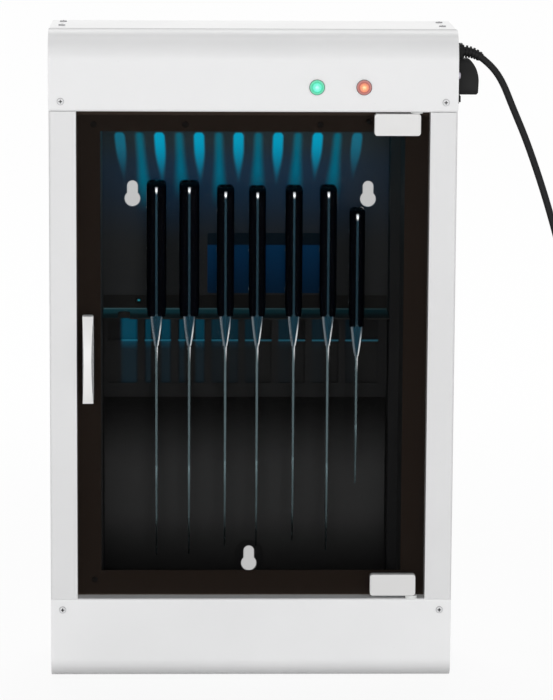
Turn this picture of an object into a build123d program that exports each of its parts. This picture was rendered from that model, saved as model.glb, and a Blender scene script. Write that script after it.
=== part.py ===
from build123d import *
from math import atan2, pi, radians, sqrt, tan
import os

# A wall or counter cabinet that disinfects kitchen knives with ultraviolet light.
# Millimetres. X runs right, Y runs back, Z runs up; the origin is the middle of the base.

# ---- cabinet
cabinet_width = 400.0
cabinet_depth = 138.0
cabinet_height = 648.0
sheet = 1.2                      # folded outer panels
fold_radius = 2.4                # outside of a fold
liner_sheet = 1.0                # folded inner panels
seam = 0.1                       # air between panels that lie on each other round a curve
base_height = 81.4               # lower cover, up to the door
header_height = 78.5             # upper cover, down to the door
header_radius = 30.0             # rolled top edge of the upper cover
base_radius = 18.0               # rolled bottom edge of the lower cover
header_overhang = 0.5            # the upper cover is this much wider on each side
cover_corner = 3.0               # rounded corners where the covers meet the stiles
lap_flat = 4.0                   # flat of the upper cover behind its rolled edge
lap_gap = 0.8                    # visible line between upper cover and top plate
tongue_depth = 3.8               # step of the top plate under the upper cover
stile_width = 26.6
jamb_depth = 19.0                # how far the door recess goes in
flange_width = 18.0              # in-turned edges that carry top and bottom plate
back_flange = 15.0               # side flanges of the back panel

front_y = -cabinet_depth / 2
back_y = cabinet_depth / 2
half_width = cabinet_width / 2
opening_half = half_width - stile_width
opening_top = cabinet_height - header_height
wall_top = cabinet_height - sheet
lap_y = front_y + header_radius + lap_flat
bottom_lap_y = front_y + base_radius + lap_flat

# ---- keyhole slots for wall screws, in the back
keyhole_head = 15.6
keyhole_slot = 10.6
keyhole_travel = 13.0            # head centre to slot centre
keyhole_side_gap = 80.0          # from the sides to the upper two
keyhole_drop = 181.0             # from the top to the upper two
lower_keyhole_height = 86.6
liner_keyhole_margin = 0.6       # the liner's openings are this much larger all round

# ---- dark inner frame, liner, floor and ceiling of the chamber
side_band = 23.4
bottom_band = 25.0
top_band = 21.2
frame_reach = 15.0               # hidden part of the frame above and below the door
frame_flange = 12.0
window_corner = 2.0
liner_clearance = 0.5            # liner wall behind the edge of the frame's window
liner_flange = 17.0
joggle_width = 9.5               # step in the right wall of the liner
joggle_start = 92.0              # from the front plane
joggle_run = 8.0
floor_height = 78.0
ceiling_drop = 17.5              # ceiling below the top of the door opening
ceiling_reach = 14.0             # ceiling and floor plates past the liner wall
slot_count = 13                  # light slots
slot_row_margin = 29.3           # from the liner's sides to the outer slots
slot_width = 11.0
slot_length = 44.0
slot_row_x = -12.2               # middle of the row
slot_back_gap = 8.0              # from the slots to the back wall

frame_y = front_y + jamb_depth
liner_y = frame_y + liner_sheet
window_half = opening_half - side_band
window_bottom = base_height + bottom_band
window_top = opening_top - top_band
liner_half = window_half + liner_clearance
keyhole_spacing = cabinet_width - 2 * keyhole_side_gap
keyhole_height = cabinet_height - keyhole_drop
ceiling_height = opening_top - ceiling_drop
chamber_height = ceiling_height - floor_height
slot_pitch = 2 * (liner_half - slot_row_margin) / (slot_count - 1)
case_inner_back = back_y - sheet
chamber_back = case_inner_back - liner_sheet
side_inner = half_width - sheet

# ---- the knives below suit a chamber of this height; in another they are longer or shorter
knife_room = 474.0
knife_scale = chamber_height / knife_room
rack_rise = 275.4                # rack above the floor of such a chamber
rack_top = floor_height + rack_rise * knife_scale

# ---- lower wall panel and blank plate
panel_sheet = 0.8
panel_top = rack_top - 31.8
panel_bulge = 6.0
panel_foot = 1.2
panel_side_gap = 1.5
panel_notch = 30.0
panel_notch_height = 34.0
plate_width = 118.0
plate_height = 62.0
plate_thickness = 0.6
plate_x = 15.5
plate_bottom = rack_top + 16.6

# ---- knife rack
rack_sheet = 1.2
rack_front = 75.5                # from the front plane
rack_flange = 14.4
rack_end_gap = 1.0
rack_slot_end = 120.0            # from the front plane
rack_screw_x = liner_half - 36.5
spare_slot_x = 22.2 - liner_half
spare_slot_width = 12.4
rack_joint = 16.5                # from the empty slot to the joint of the two lengths
guard_front = 121.5              # from the front plane
guard_bottom = rack_top - 88.9
guard_rail = 14.6                # solid strip under the windows
guard_window_top = rack_top - 7.4
guard_bar = 7.0
guard_pitch = 34.2
guard_centre_x = -8.6
guard_left_bar = 4.5
guard_right_bar = 9.0
guard_flange = 10.0

# ---- knives: across the rack, handle length and width, whole length, blade width, drop
# (drop is how far the narrow end of the handle reaches below the rack)
knives = [
    (-95.3, 137.2, 20.0, 386.0, 33.0, 0.0),
    (-62.2, 137.2, 20.4, 385.0, 33.0, 0.0),
    (-25.7, 132.7, 17.6, 372.6, 32.0, 0.0),
    (6.4, 132.1, 17.2, 372.0, 32.0, 0.0),
    (43.3, 132.6, 17.4, 366.6, 31.0, 0.0),
    (77.9, 133.0, 17.2, 376.5, 31.0, 0.0),
    (107.1, 120.9, 15.8, 283.9, 26.0, 10.5),
]
knife_front = 84.0               # spine of each knife, from the front plane
knife_rest = 0.3                 # air between handle and rack
tang_thickness = 3.2
tip_thickness = 1.4
edge_thickness = 0.6
bolster_width = 11.5
bolster_length = 30.0
bolster_end_width = 4.2
bolster_cheek = 1.5              # straight sides at its broad end
bolster_peak = 3.6               # ridge between the scales
handle_depth = 26.0
small_handle_depth = 21.0
handle_corner = 5.5
handle_draw = 1.3                # how far each side of the handle draws in at the bolster
handle_draw_length = 16.0
handle_neck = 1.5                # how much narrower the end of the handle below the rack is
slot_clearance = 0.45

# ---- glass door
glass_thickness = 5.0
glass_recess = 0.8               # behind the front plane
glass_side_gap = 1.6
clamp_width = 45.5
clamp_height = 21.6
clamp_plate = 2.0
clamp_web = 2.1
clamp_corner = 3.0
clamp_edge = 0.6
clamp_right = opening_half - 9.4  # outer end of both clamps
clamp_top_gap = 1.4
clamp_bottom_gap = 3.4
hinge_x = clamp_right - 4.0
hinge_setback = 4.0              # pin axis behind the front of the glass
pin_diameter = 4.0
pin_length = 9.0
pin_fit = 0.05                   # air round the pin in its bush
bush_flange = 12.0
bush_barrel = 6.0
bush_length = 8.0
clamp_air = 0.3                  # between a clamp and its bush
upper_bush_thickness = clamp_top_gap - clamp_air
lower_bush_thickness = clamp_bottom_gap - clamp_air

glass_left = -opening_half + glass_side_gap
glass_right = opening_half - glass_side_gap
glass_front = front_y + glass_recess
glass_back = glass_front + glass_thickness
hinge_y = glass_front + hinge_setback
clamp_top = opening_top - clamp_top_gap
clamp_bottom = base_height + clamp_bottom_gap
glass_top = clamp_top - clamp_web
glass_bottom = clamp_bottom + clamp_web

# ---- bow handle, catch and door switch
handle_x = 11.2 - opening_half
handle_length = 87.0
handle_below_middle = 0.95       # of the door opening
handle_low = (base_height + opening_top - handle_length) / 2 - handle_below_middle
handle_high = handle_low + handle_length
handle_reach = 24.0
handle_thickness = 4.0
handle_foot = 9.0
handle_end_width = 10.6
handle_waist_width = 7.6
handle_screw = 4.0
handle_screw_inset = 5.0
strike_thickness = 1.0
strike_width = 11.0
catch_width = 12.0
catch_height = 34.0
catch_air = 0.3
plunger_x = opening_half - 59.9
plunger_z = opening_top - 10.5
plunger_diameter = 4.0
plunger_travel = 2.5
plunger_air = 0.3
plunger_fit = 0.05
switch_width = 12.0
switch_height = 10.0
switch_depth = 18.0

# ---- indicator lights
light_height = opening_top + 24.4
red_x = half_width - 92.0
green_x = red_x - 46.0
bezel_diameter = 15.4
bezel_rise = 1.6
bezel_barrel = 12.0
bezel_length = 22.0
lens_diameter = 11.0
lens_seat = 1.0
lens_dome = 3.0
lens_rim = 0.4                   # straight part of the lens in front of its holder
lens_air = 0.1
nut_diameter = 15.0
nut_thickness = 3.0

# ---- ultraviolet lamp and its gear in the header
tube_diameter = 15.6
tube_length = 288.0
tube_height = ceiling_height + 25.0
tube_from_back = 31.0
cap_length = 12.0
cap_diameter = 16.4
lamp_pin_diameter = 2.4
lamp_pin_length = 7.0
lamp_pin_spacing = 4.75
holder_thickness = 10.0
holder_width = 24.0
holder_air = 0.3
ballast_length = 150.0
ballast_width = 38.0
ballast_height = 28.0
ballast_x = -60.0
ballast_front = 40.0             # from the front plane
ballast_ear = 12.0
ballast_ear_height = 2.0
terminal_ways = 5
terminal_pitch = 9.0
terminal_width = 17.0
terminal_height = 13.0
terminal_x = 60.0

# ---- screws
cover_screw_head = 7.0
cover_screw_rise = 1.4
cover_screw_shank = 3.0
cover_screw_length = 9.0
screw_hole_air = 0.2
header_screw_x = half_width - 11.7
header_screw_above = 9.8         # above the door opening
base_screw_below = 11.1          # below the door opening
bracket_width = 17.0
bracket_height = 18.0
bracket_tab = 14.0
bracket_from_opening = 2.6
top_screw_x = half_width - 11.2
top_screw_front = 69.0           # from the front plane
top_screw_back = 117.4
frame_screw_x = opening_half - 16.9
frame_screw_inner_x = 66.5
frame_screw_upper = opening_top - 14.3
frame_screw_lower = base_height + 15.6
frame_screw_head = 6.0
frame_screw_rise = 1.2
frame_screw_length = 5.0
clamp_screw_diameter = 4.0
clamp_screw_spacing = 22.0
clamp_screw_rise = 0.8

# ---- mains inlet, its connector and the lead
inlet_from_front = 62.0
inlet_height = cabinet_height - 46.0
inlet_width = 48.0
inlet_tall = 58.0
inlet_flange = 5.0
inlet_corner = 4.0
inlet_edge = 1.2
inlet_barrel_width = 28.0
inlet_barrel_tall = 47.0
inlet_barrel_depth = 26.0
inlet_screw_spacing = 40.0
inlet_screw_head = 7.0
inlet_screw_rise = 3.8
inlet_ear = 1.8                  # thickness of the flange where its screws are
inlet_ear_tall = 30.0
inlet_block_width = 31.0
socket_width = 27.4
socket_depth = 15.0
connector_width = 26.4
connector_tall = 35.0
connector_reach = 18.5
connector_nose_width = 23.0
connector_nose_tall = 20.0
connector_height = inlet_height - 2.4
shoulder_reach = 3.2
shoulder_height = 16.6
shoulder_width = 16.0
shoulder_middle = inlet_height + 22.0
fuse_drawer_rise = 1.6
fuse_drawer_height = 6.0
fuse_drawer_from_edge = 1.6
cord_diameter = 7.0
relief_start_diameter = 13.0
relief_end_diameter = 8.0
relief_ribs = 6
relief_rib_width = 1.8
coil_x = half_width + 172.0
coil_y = 45.0
coil_step = 7.6                  # from one turn to the next, sideways and up
coil_outer_radius = 43.8         # centre line of the outermost turn
coil_turns = 2                   # in each of the two layers
coil_height = 3.7                # centre line of the lower layer
plug_radius = 18.0
plug_front_length = 15.0
plug_length = 36.0
plug_grip_radius = 11.0
plug_relief_length = 20.0
plug_height = plug_radius + 0.2
tail_run = 45.0                  # from the last turn to the plug
plug_pin_diameter = 4.8
plug_pin_length = 19.0
plug_pin_spacing = 19.0

inlet_y = front_y + inlet_from_front
# centre line of the lead from its strain relief to the coil, chosen by hand: out from the side wall,
# back from the inlet, up from the inlet or from the floor
run_start = inlet_height - 69.0
run_end = 131.0
lead_start = [(27.2, 0, 16.1), (37.6, 0, 8.3), (49.1, 0, -8.1), (58.9, 0, -32.3)]
lead_run = [(74.9, -0.4), (94.8, -1.4), (111.2, -3.2), (120.9, -5.8), (126.0, -9.2), (128.4, -13.2),
            (129.2, -17.4), (129.0, -20.9)]
lead_end = [(128.7, -22.0, 83.0), (128.4, -17.0, 47.0), (128.2, -1.0, 18.0), (128.2, 21.0, coil_height)]
run_step = (run_start - run_end) / (len(lead_run) - 1)
cord_points = [(half_width + x, inlet_y + y, inlet_height + z) for x, y, z in lead_start]
cord_points += [(half_width + x, inlet_y + y, run_start - k * run_step) for k, (x, y) in enumerate(lead_run)]
cord_points += [(half_width + x, inlet_y + y, z) for x, y, z in lead_end]
cord_points.append((coil_x - coil_outer_radius, coil_y - cord_diameter, coil_height))


# ---------------------------------------------------------------- small helpers

def block(x0, x1, y0, y1, z0, z1):
    return Pos((x0 + x1) / 2, (y0 + y1) / 2, (z0 + z1) / 2) * Box(x1 - x0, y1 - y0, z1 - z0)


def rod(diameter, start, end):
    """A round bar between two points."""
    axis = Vector(*end) - Vector(*start)
    foot = Plane(origin=start, z_dir=axis)
    return extrude(foot * Circle(diameter / 2), axis.length)


def across(face, half):
    """A face drawn in Y and Z, pulled to both sides of the middle plane."""
    return extrude(Plane.YZ * face, half, both=True)


def front_prism(face, y0, y1):
    """A face drawn in X and Z, pulled from y0 back to y1."""
    plane = Plane(origin=(0, y0, 0), x_dir=(1, 0, 0), z_dir=(0, -1, 0))
    return extrude(plane * face, -(y1 - y0))


def rounded_box_face(x0, x1, z0, z1, radius):
    return Pos((x0 + x1) / 2, (z0 + z1) / 2) * RectangleRounded(x1 - x0, z1 - z0, radius)


def folded(points, radii, thickness, side=Side.LEFT):
    """Section of a folded sheet: the given line is its outside, the sheet lies to one side of it."""
    outside = FilletPolyline(*points, radius=radii)
    return make_face(offset(outside, thickness, side=side))


def both_sides(shape):
    return [shape, mirror(shape, Plane.YZ)]


def pan_screw(head, rise, shank, length):
    """A screw along +Z with its head on top and the underside of the head at zero."""
    top = extrude(Circle(head / 2), rise)
    top = fillet(top.edges().sort_by(Axis.Z)[-1], min(rise * 0.6, head / 4))
    recess = Pos(0, 0, rise) * (Box(head * 0.5, head * 0.13, rise) + Box(head * 0.13, head * 0.5, rise))
    return top - recess + extrude(Circle(shank / 2), -length)


def facing_front(x, y, z):
    """Place for a screw whose head looks forward."""
    return Plane(origin=(x, y, z), x_dir=(1, 0, 0), z_dir=(0, -1, 0)).location


def facing_back(x, y, z):
    return Plane(origin=(x, y, z), x_dir=(1, 0, 0), z_dir=(0, 1, 0)).location


def facing_right(x, y, z):
    return Plane(origin=(x, y, z), x_dir=(0, 1, 0), z_dir=(1, 0, 0)).location


# ---------------------------------------------------------------- cabinet shell

def keyholes(margin):
    """The three keyhole openings, drawn in X and Z."""
    places = [
        (-keyhole_spacing / 2, keyhole_height),
        (keyhole_spacing / 2, keyhole_height),
        (0, lower_keyhole_height),
    ]
    one = Circle(keyhole_head / 2 + margin)
    one += Pos(0, keyhole_travel / 2) * Rectangle(keyhole_slot + 2 * margin, keyhole_travel)
    one += Pos(0, keyhole_travel) * Circle(keyhole_slot / 2 + margin)
    return [Pos(x, z) * one for x, z in places]


def side_panels():
    """Two side walls, each folded into a front stile and a jamb; the right one carries the inlet."""
    plan = RectangleRounded(cabinet_width, cabinet_depth, fold_radius)
    plan -= RectangleRounded(2 * side_inner, cabinet_depth - 2 * sheet, fold_radius - sheet)
    plan -= Pos(0, front_y) * Rectangle(2 * opening_half, cabinet_depth / 2)
    plan -= Pos(0, back_y) * Rectangle(2 * side_inner, 4 * sheet)
    for side in (-1, 1):
        jamb_x = side * (opening_half + sheet / 2)
        plan += Pos(jamb_x, front_y + jamb_depth / 2) * Rectangle(sheet, jamb_depth)
    walls = extrude(plan, wall_top)
    walls -= block(-side_inner, side_inner, front_y, frame_y + seam, opening_top, wall_top)
    walls -= block(-side_inner, side_inner, front_y, frame_y + seam, 0, base_height)
    # the walls end just behind the rolled covers
    behind = front_y + sheet + seam
    top_line = FilletPolyline((behind, opening_top), (behind, wall_top - seam), (back_y, wall_top - seam),
                              radius=header_radius - sheet - seam)
    ahead = make_face(top_line + Polyline((back_y, wall_top - seam), (back_y, wall_top + sheet),
                                          (front_y - sheet, wall_top + sheet), (front_y - sheet, opening_top),
                                          (behind, opening_top)))
    walls -= across(ahead, cabinet_width)
    low_line = FilletPolyline((behind, base_height), (behind, sheet + seam), (bottom_lap_y, sheet + seam),
                              radius=base_radius - sheet - seam)
    under = make_face(low_line + Polyline((bottom_lap_y, sheet + seam), (bottom_lap_y, -sheet),
                                          (front_y - sheet, -sheet), (front_y - sheet, base_height),
                                          (behind, base_height)))
    walls -= across(under, cabinet_width)
    # in-turned edges for the top and bottom plates
    upper = wall_top - seam
    for x0, x1 in ((side_inner - flange_width, side_inner + seam), (-side_inner - seam, flange_width - side_inner)):
        walls += block(x0, x1, lap_y + lap_flat, case_inner_back - seam, upper - sheet, upper)
        walls += block(x0, x1, bottom_lap_y + lap_flat, case_inner_back - seam, sheet + seam, 2 * sheet + seam)
    walls -= block(side_inner - seam, half_width + seam,
                   inlet_y - inlet_barrel_width / 2 - seam, inlet_y + inlet_barrel_width / 2 + seam,
                   inlet_height - inlet_barrel_tall / 2 - seam, inlet_height + inlet_barrel_tall / 2 + seam)
    for place in inlet_screw_places():
        walls -= place * Cylinder(cover_screw_shank / 2 + screw_hole_air, 4 * inlet_flange)
    for place in top_screw_places():
        walls -= place * Cylinder(cover_screw_shank / 2 + screw_hole_air, 6 * sheet)
    return list(walls.solids())


def back_panel():
    """Shallow pan between the side walls, with the keyholes for the wall screws."""
    half = side_inner - seam
    pan = Pos(0, back_y - back_flange) * RectangleRounded(2 * half, 2 * back_flange, fold_radius)
    pan -= Pos(0, back_y - back_flange) * RectangleRounded(
        2 * half - 2 * sheet, 2 * back_flange - 2 * sheet, fold_radius - sheet)
    pan -= Pos(0, back_y - 2 * back_flange) * Rectangle(2 * cabinet_width, 2 * back_flange)
    relief = 4 * sheet
    panel = Pos(0, 0, relief) * extrude(pan, wall_top - 2 * relief)
    panel += block(fold_radius - half, half - fold_radius, case_inner_back, back_y, 0, wall_top)
    return panel - [front_prism(face, case_inner_back - seam, back_y + seam) for face in keyholes(0)]


def top_plate():
    """Flat lid, stepped down at the front so that the upper cover laps over it."""
    plate = block(-half_width, half_width, lap_y + lap_gap, back_y,
                  cabinet_height - sheet, cabinet_height)
    under = cabinet_height - sheet - seam
    plate += block(-side_inner + 1, side_inner - 1, lap_y - tongue_depth, lap_y + lap_gap + sheet,
                   under - sheet, under)
    plate += block(-side_inner + 1, side_inner - 1, lap_y + lap_gap, lap_y + lap_gap + sheet,
                   under - sheet, cabinet_height)
    for place in top_screw_places():
        plate -= place * Cylinder(cover_screw_shank / 2 + screw_hole_air, 6 * sheet)
    return plate


def bottom_plate():
    """Base panel on which the cabinet stands, with an upright lip at its front."""
    left, right = -side_inner + seam, side_inner - seam
    front = bottom_lap_y + lap_gap
    plate = block(left, right, front, case_inner_back - seam, 0, sheet)
    plate = fillet(plate.edges().filter_by(Axis.Z).sort_by(Axis.Y)[-2:], fold_radius)
    return plate + block(left + flange_width + 1, right - flange_width - 1, front, front + sheet, 0, 4 * flange_width / 5)


def lip_ends(z0, z1):
    """What is cut from the ends of a cover's lip, so that it fits between the side walls."""
    return both_sides(block(side_inner - seam, cabinet_width, front_y + sheet + seam, back_y, z0, z1))


def upper_cover():
    """Rolled front cover of the header with a lip over the door."""
    section = folded([(lap_y, cabinet_height), (front_y, cabinet_height), (front_y, opening_top),
                      (frame_y, opening_top)], [header_radius, fold_radius], sheet)
    reach = half_width + header_overhang
    cover = across(section, reach)
    front_view = RectangleRounded(2 * reach, 4 * cabinet_height, cover_corner)
    front_view = Pos(0, opening_top + 2 * cabinet_height) * front_view
    cover &= front_prism(front_view, front_y - 1, back_y)
    cover -= lip_ends(opening_top - 1, opening_top + fold_radius)
    hole = cover_screw_shank / 2 + screw_hole_air
    for place in header_screw_places():
        cover -= place * Cylinder(hole, 4 * sheet)
    for x in (green_x, red_x):
        cover -= facing_front(x, front_y, light_height) * Cylinder(bezel_barrel / 2 + seam, 4 * sheet)
    return cover - rod(bush_barrel + 2 * seam, (hinge_x, hinge_y, opening_top - 1),
                       (hinge_x, hinge_y, opening_top + 4 * sheet))


def lower_cover():
    """Rolled front cover of the base with a lip under the door."""
    section = folded([(frame_y, base_height), (front_y, base_height), (front_y, 0), (bottom_lap_y, 0)],
                     [fold_radius, base_radius], sheet)
    cover = across(section, half_width)
    front_view = Pos(0, base_height - 2 * cabinet_height) * RectangleRounded(
        cabinet_width, 4 * cabinet_height, cover_corner)
    cover &= front_prism(front_view, front_y - 1, back_y)
    cover -= lip_ends(base_height - fold_radius, base_height + 1)
    hole = cover_screw_shank / 2 + screw_hole_air
    for place in base_screw_places():
        cover -= place * Cylinder(hole, 4 * sheet)
    return cover - rod(bush_barrel + 2 * seam, (hinge_x, hinge_y, base_height - 4 * sheet),
                       (hinge_x, hinge_y, base_height + 1))


def cover_brackets():
    """Four angle brackets on the side walls that the cover screws bite into."""
    low_z = base_height - bracket_from_opening - bracket_height
    solids = []
    for z0 in (opening_top + bracket_from_opening, low_z):
        outer = side_inner - seam
        tab_y = front_y + sheet + seam
        bracket = block(outer - bracket_width, outer, tab_y, tab_y + sheet, z0, z0 + bracket_height)
        bracket += block(outer - sheet, outer, tab_y, tab_y + bracket_tab, z0, z0 + bracket_height)
        for place in header_screw_places() + base_screw_places():
            bracket -= place * Cylinder(cover_screw_shank / 2 + screw_hole_air, 8 * sheet)
        solids += both_sides(bracket)
    return solids


# ---------------------------------------------------------------- chamber

def door_frame():
    """Dark bulkhead of two folded uprights and two strips between them; the door shuts in front of it."""
    low, high = base_height - frame_reach, opening_top + frame_reach
    outer = side_inner - seam
    upright = block(window_half, outer, frame_y, liner_y, low, high)
    upright += block(outer - liner_sheet, outer, frame_y, frame_y + frame_flange, low, high)
    strips = both_sides(upright)
    for z0, z1 in ((low, window_bottom), (window_top, high)):
        strips.append(block(-window_half, window_half, frame_y, liner_y, z0, z1))
    holes = [rod(plunger_diameter + 4 * plunger_fit, (plunger_x, frame_y - 1, plunger_z),
                 (plunger_x, liner_y + 1, plunger_z))]
    for place in frame_screw_places():
        holes.append(place * Cylinder(cover_screw_shank / 2 + screw_hole_air, 6 * liner_sheet))
    return [strip - holes for strip in strips]


def chamber_liner():
    """Back and side walls of the chamber, folded from one sheet."""
    outside = liner_half + liner_sheet
    step_y = front_y + joggle_start
    line = [
        (-outside - liner_flange, liner_y),
        (-liner_half, liner_y),
        (-liner_half, chamber_back),
        (liner_half - joggle_width, chamber_back),
        (liner_half - joggle_width, step_y + joggle_run),
        (liner_half, step_y),
        (liner_half, liner_y),
        (outside + liner_flange, liner_y),
    ]
    section = offset(Polyline(*line), liner_sheet, side=Side.LEFT, kind=Kind.INTERSECTION)
    liner = Pos(0, 0, floor_height) * extrude(make_face(section), ceiling_height - floor_height)
    margin = liner_keyhole_margin
    liner -= [front_prism(face, chamber_back - 1, case_inner_back + 1) for face in keyholes(margin)]
    for place in frame_screw_places():
        liner -= place * Cylinder(cover_screw_shank / 2 + screw_hole_air, 6 * liner_sheet)
    for place in rack_screw_places():
        liner -= place * Cylinder(cover_screw_shank / 2 + screw_hole_air, 6 * liner_sheet)
    return liner


def chamber_floor():
    reach = liner_half + ceiling_reach
    return block(-reach, reach, liner_y, case_inner_back, floor_height - liner_sheet, floor_height)


def slotted_ceiling():
    """Plate under the lamp; its slots throw the light down the back wall."""
    reach = liner_half + ceiling_reach
    plate = block(-reach, reach, liner_y, case_inner_back, ceiling_height, ceiling_height + liner_sheet)
    middle_y = chamber_back - slot_back_gap - slot_length / 2
    for number in range(slot_count):
        x = slot_row_x + (number - (slot_count - 1) / 2) * slot_pitch
        hole = Pos(x, middle_y, ceiling_height) * extrude(
            SlotOverall(slot_length, slot_width, rotation=90), 4 * liner_sheet, both=True)
        plate -= hole
    return plate


def lower_panel():
    """Gently bowed panel on the lower back wall, turned back to the wall at its top."""
    face_low = chamber_back - panel_foot
    face_high = chamber_back - panel_bulge + 1
    middle = chamber_back - panel_bulge
    low, high = floor_height + seam, panel_top
    bow = ThreePointArc((face_low, low), (middle, (low + high) / 2), (face_high, high))
    inner = ThreePointArc((face_low + panel_sheet, low), (middle + panel_sheet, (low + high) / 2),
                          (face_high + panel_sheet, high - panel_sheet))
    top = Polyline((face_high, high), (chamber_back - seam, high), (chamber_back - seam, high - panel_sheet),
                   (face_high + panel_sheet, high - panel_sheet))
    section = make_face(bow + inner + top + Line((face_low, low), (face_low + panel_sheet, low)))
    left = -liner_half + panel_side_gap
    right = liner_half - joggle_width - panel_side_gap
    panel = Pos((left + right) / 2, 0, 0) * across(section, (right - left) / 2)
    arch = Rectangle(panel_notch, 2 * (panel_notch_height - panel_notch / 2))
    arch += Pos(0, panel_notch_height - panel_notch / 2) * Circle(panel_notch / 2)
    return panel - front_prism(Pos(0, floor_height) * arch, middle - 2, chamber_back + 1)


def blank_plate():
    """Bare plate on the back wall."""
    face = rounded_box_face(plate_x - plate_width / 2, plate_x + plate_width / 2,
                            plate_bottom, plate_bottom + plate_height, 2)
    return front_prism(face, chamber_back - plate_thickness, chamber_back)


# ---------------------------------------------------------------- rack

def rack_slots():
    """Centre and width of every slot, the empty one first."""
    slots = [(spare_slot_x, spare_slot_width)]
    for x, _, handle_width, _, _, drop in knives:
        passing = handle_width - handle_neck if drop else bolster_width
        slots.append((x, passing + 2 * slot_clearance))
    return slots


def rack_ends():
    return -liner_half + rack_end_gap, liner_half - joggle_width - rack_end_gap


def knife_rack():
    """Comb plate folded up at the back wall, in two lengths; the knives hang in its slots."""
    left, right = rack_ends()
    section = folded([(front_y + rack_front, rack_top), (chamber_back - rack_sheet, rack_top),
                      (chamber_back - rack_sheet, rack_top + rack_flange)], fold_radius - rack_sheet, rack_sheet,
                     Side.RIGHT)
    rack = Pos((left + right) / 2, 0, 0) * across(section, (right - left) / 2)
    end = front_y + rack_slot_end
    for x, width in rack_slots():
        rack -= block(x - width / 2, x + width / 2, front_y + rack_front - 1, end - width / 2,
                      rack_top - 2 * rack_sheet, rack_top + 1)
        rack -= Pos(x, end - width / 2, rack_top) * Cylinder(width / 2, 4 * rack_sheet)
    for place in rack_screw_places():
        rack -= place * Cylinder(cover_screw_shank / 2 + screw_hole_air, 6 * rack_sheet)
    joint = spare_slot_x + rack_joint
    parts = split(rack, Plane(origin=(joint, 0, 0), z_dir=(1, 0, 0)), keep=Keep.BOTH)
    return list(parts.solids())


def blade_guard():
    """Hanging screen with a window behind every knife, fixed under the comb plate."""
    left, right = rack_ends()
    y0 = front_y + guard_front
    top = rack_top - rack_sheet
    guard = block(left, right, y0, y0 + liner_sheet, guard_bottom, top)
    guard += block(left, right, y0, y0 + guard_flange, top - liner_sheet, top)
    bars = [guard_centre_x + k * guard_pitch for k in range(-3, 4)]
    starts = [left + guard_left_bar] + [x + guard_bar / 2 for x in bars]
    ends = [x - guard_bar / 2 for x in bars] + [right - guard_right_bar]
    for x0, x1 in zip(starts, ends):
        window = rounded_box_face(x0, x1, guard_bottom + guard_rail, guard_window_top, window_corner)
        guard -= front_prism(window, y0 - 1, y0 + 2 * liner_sheet)
    return guard


# ---------------------------------------------------------------- knives

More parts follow.
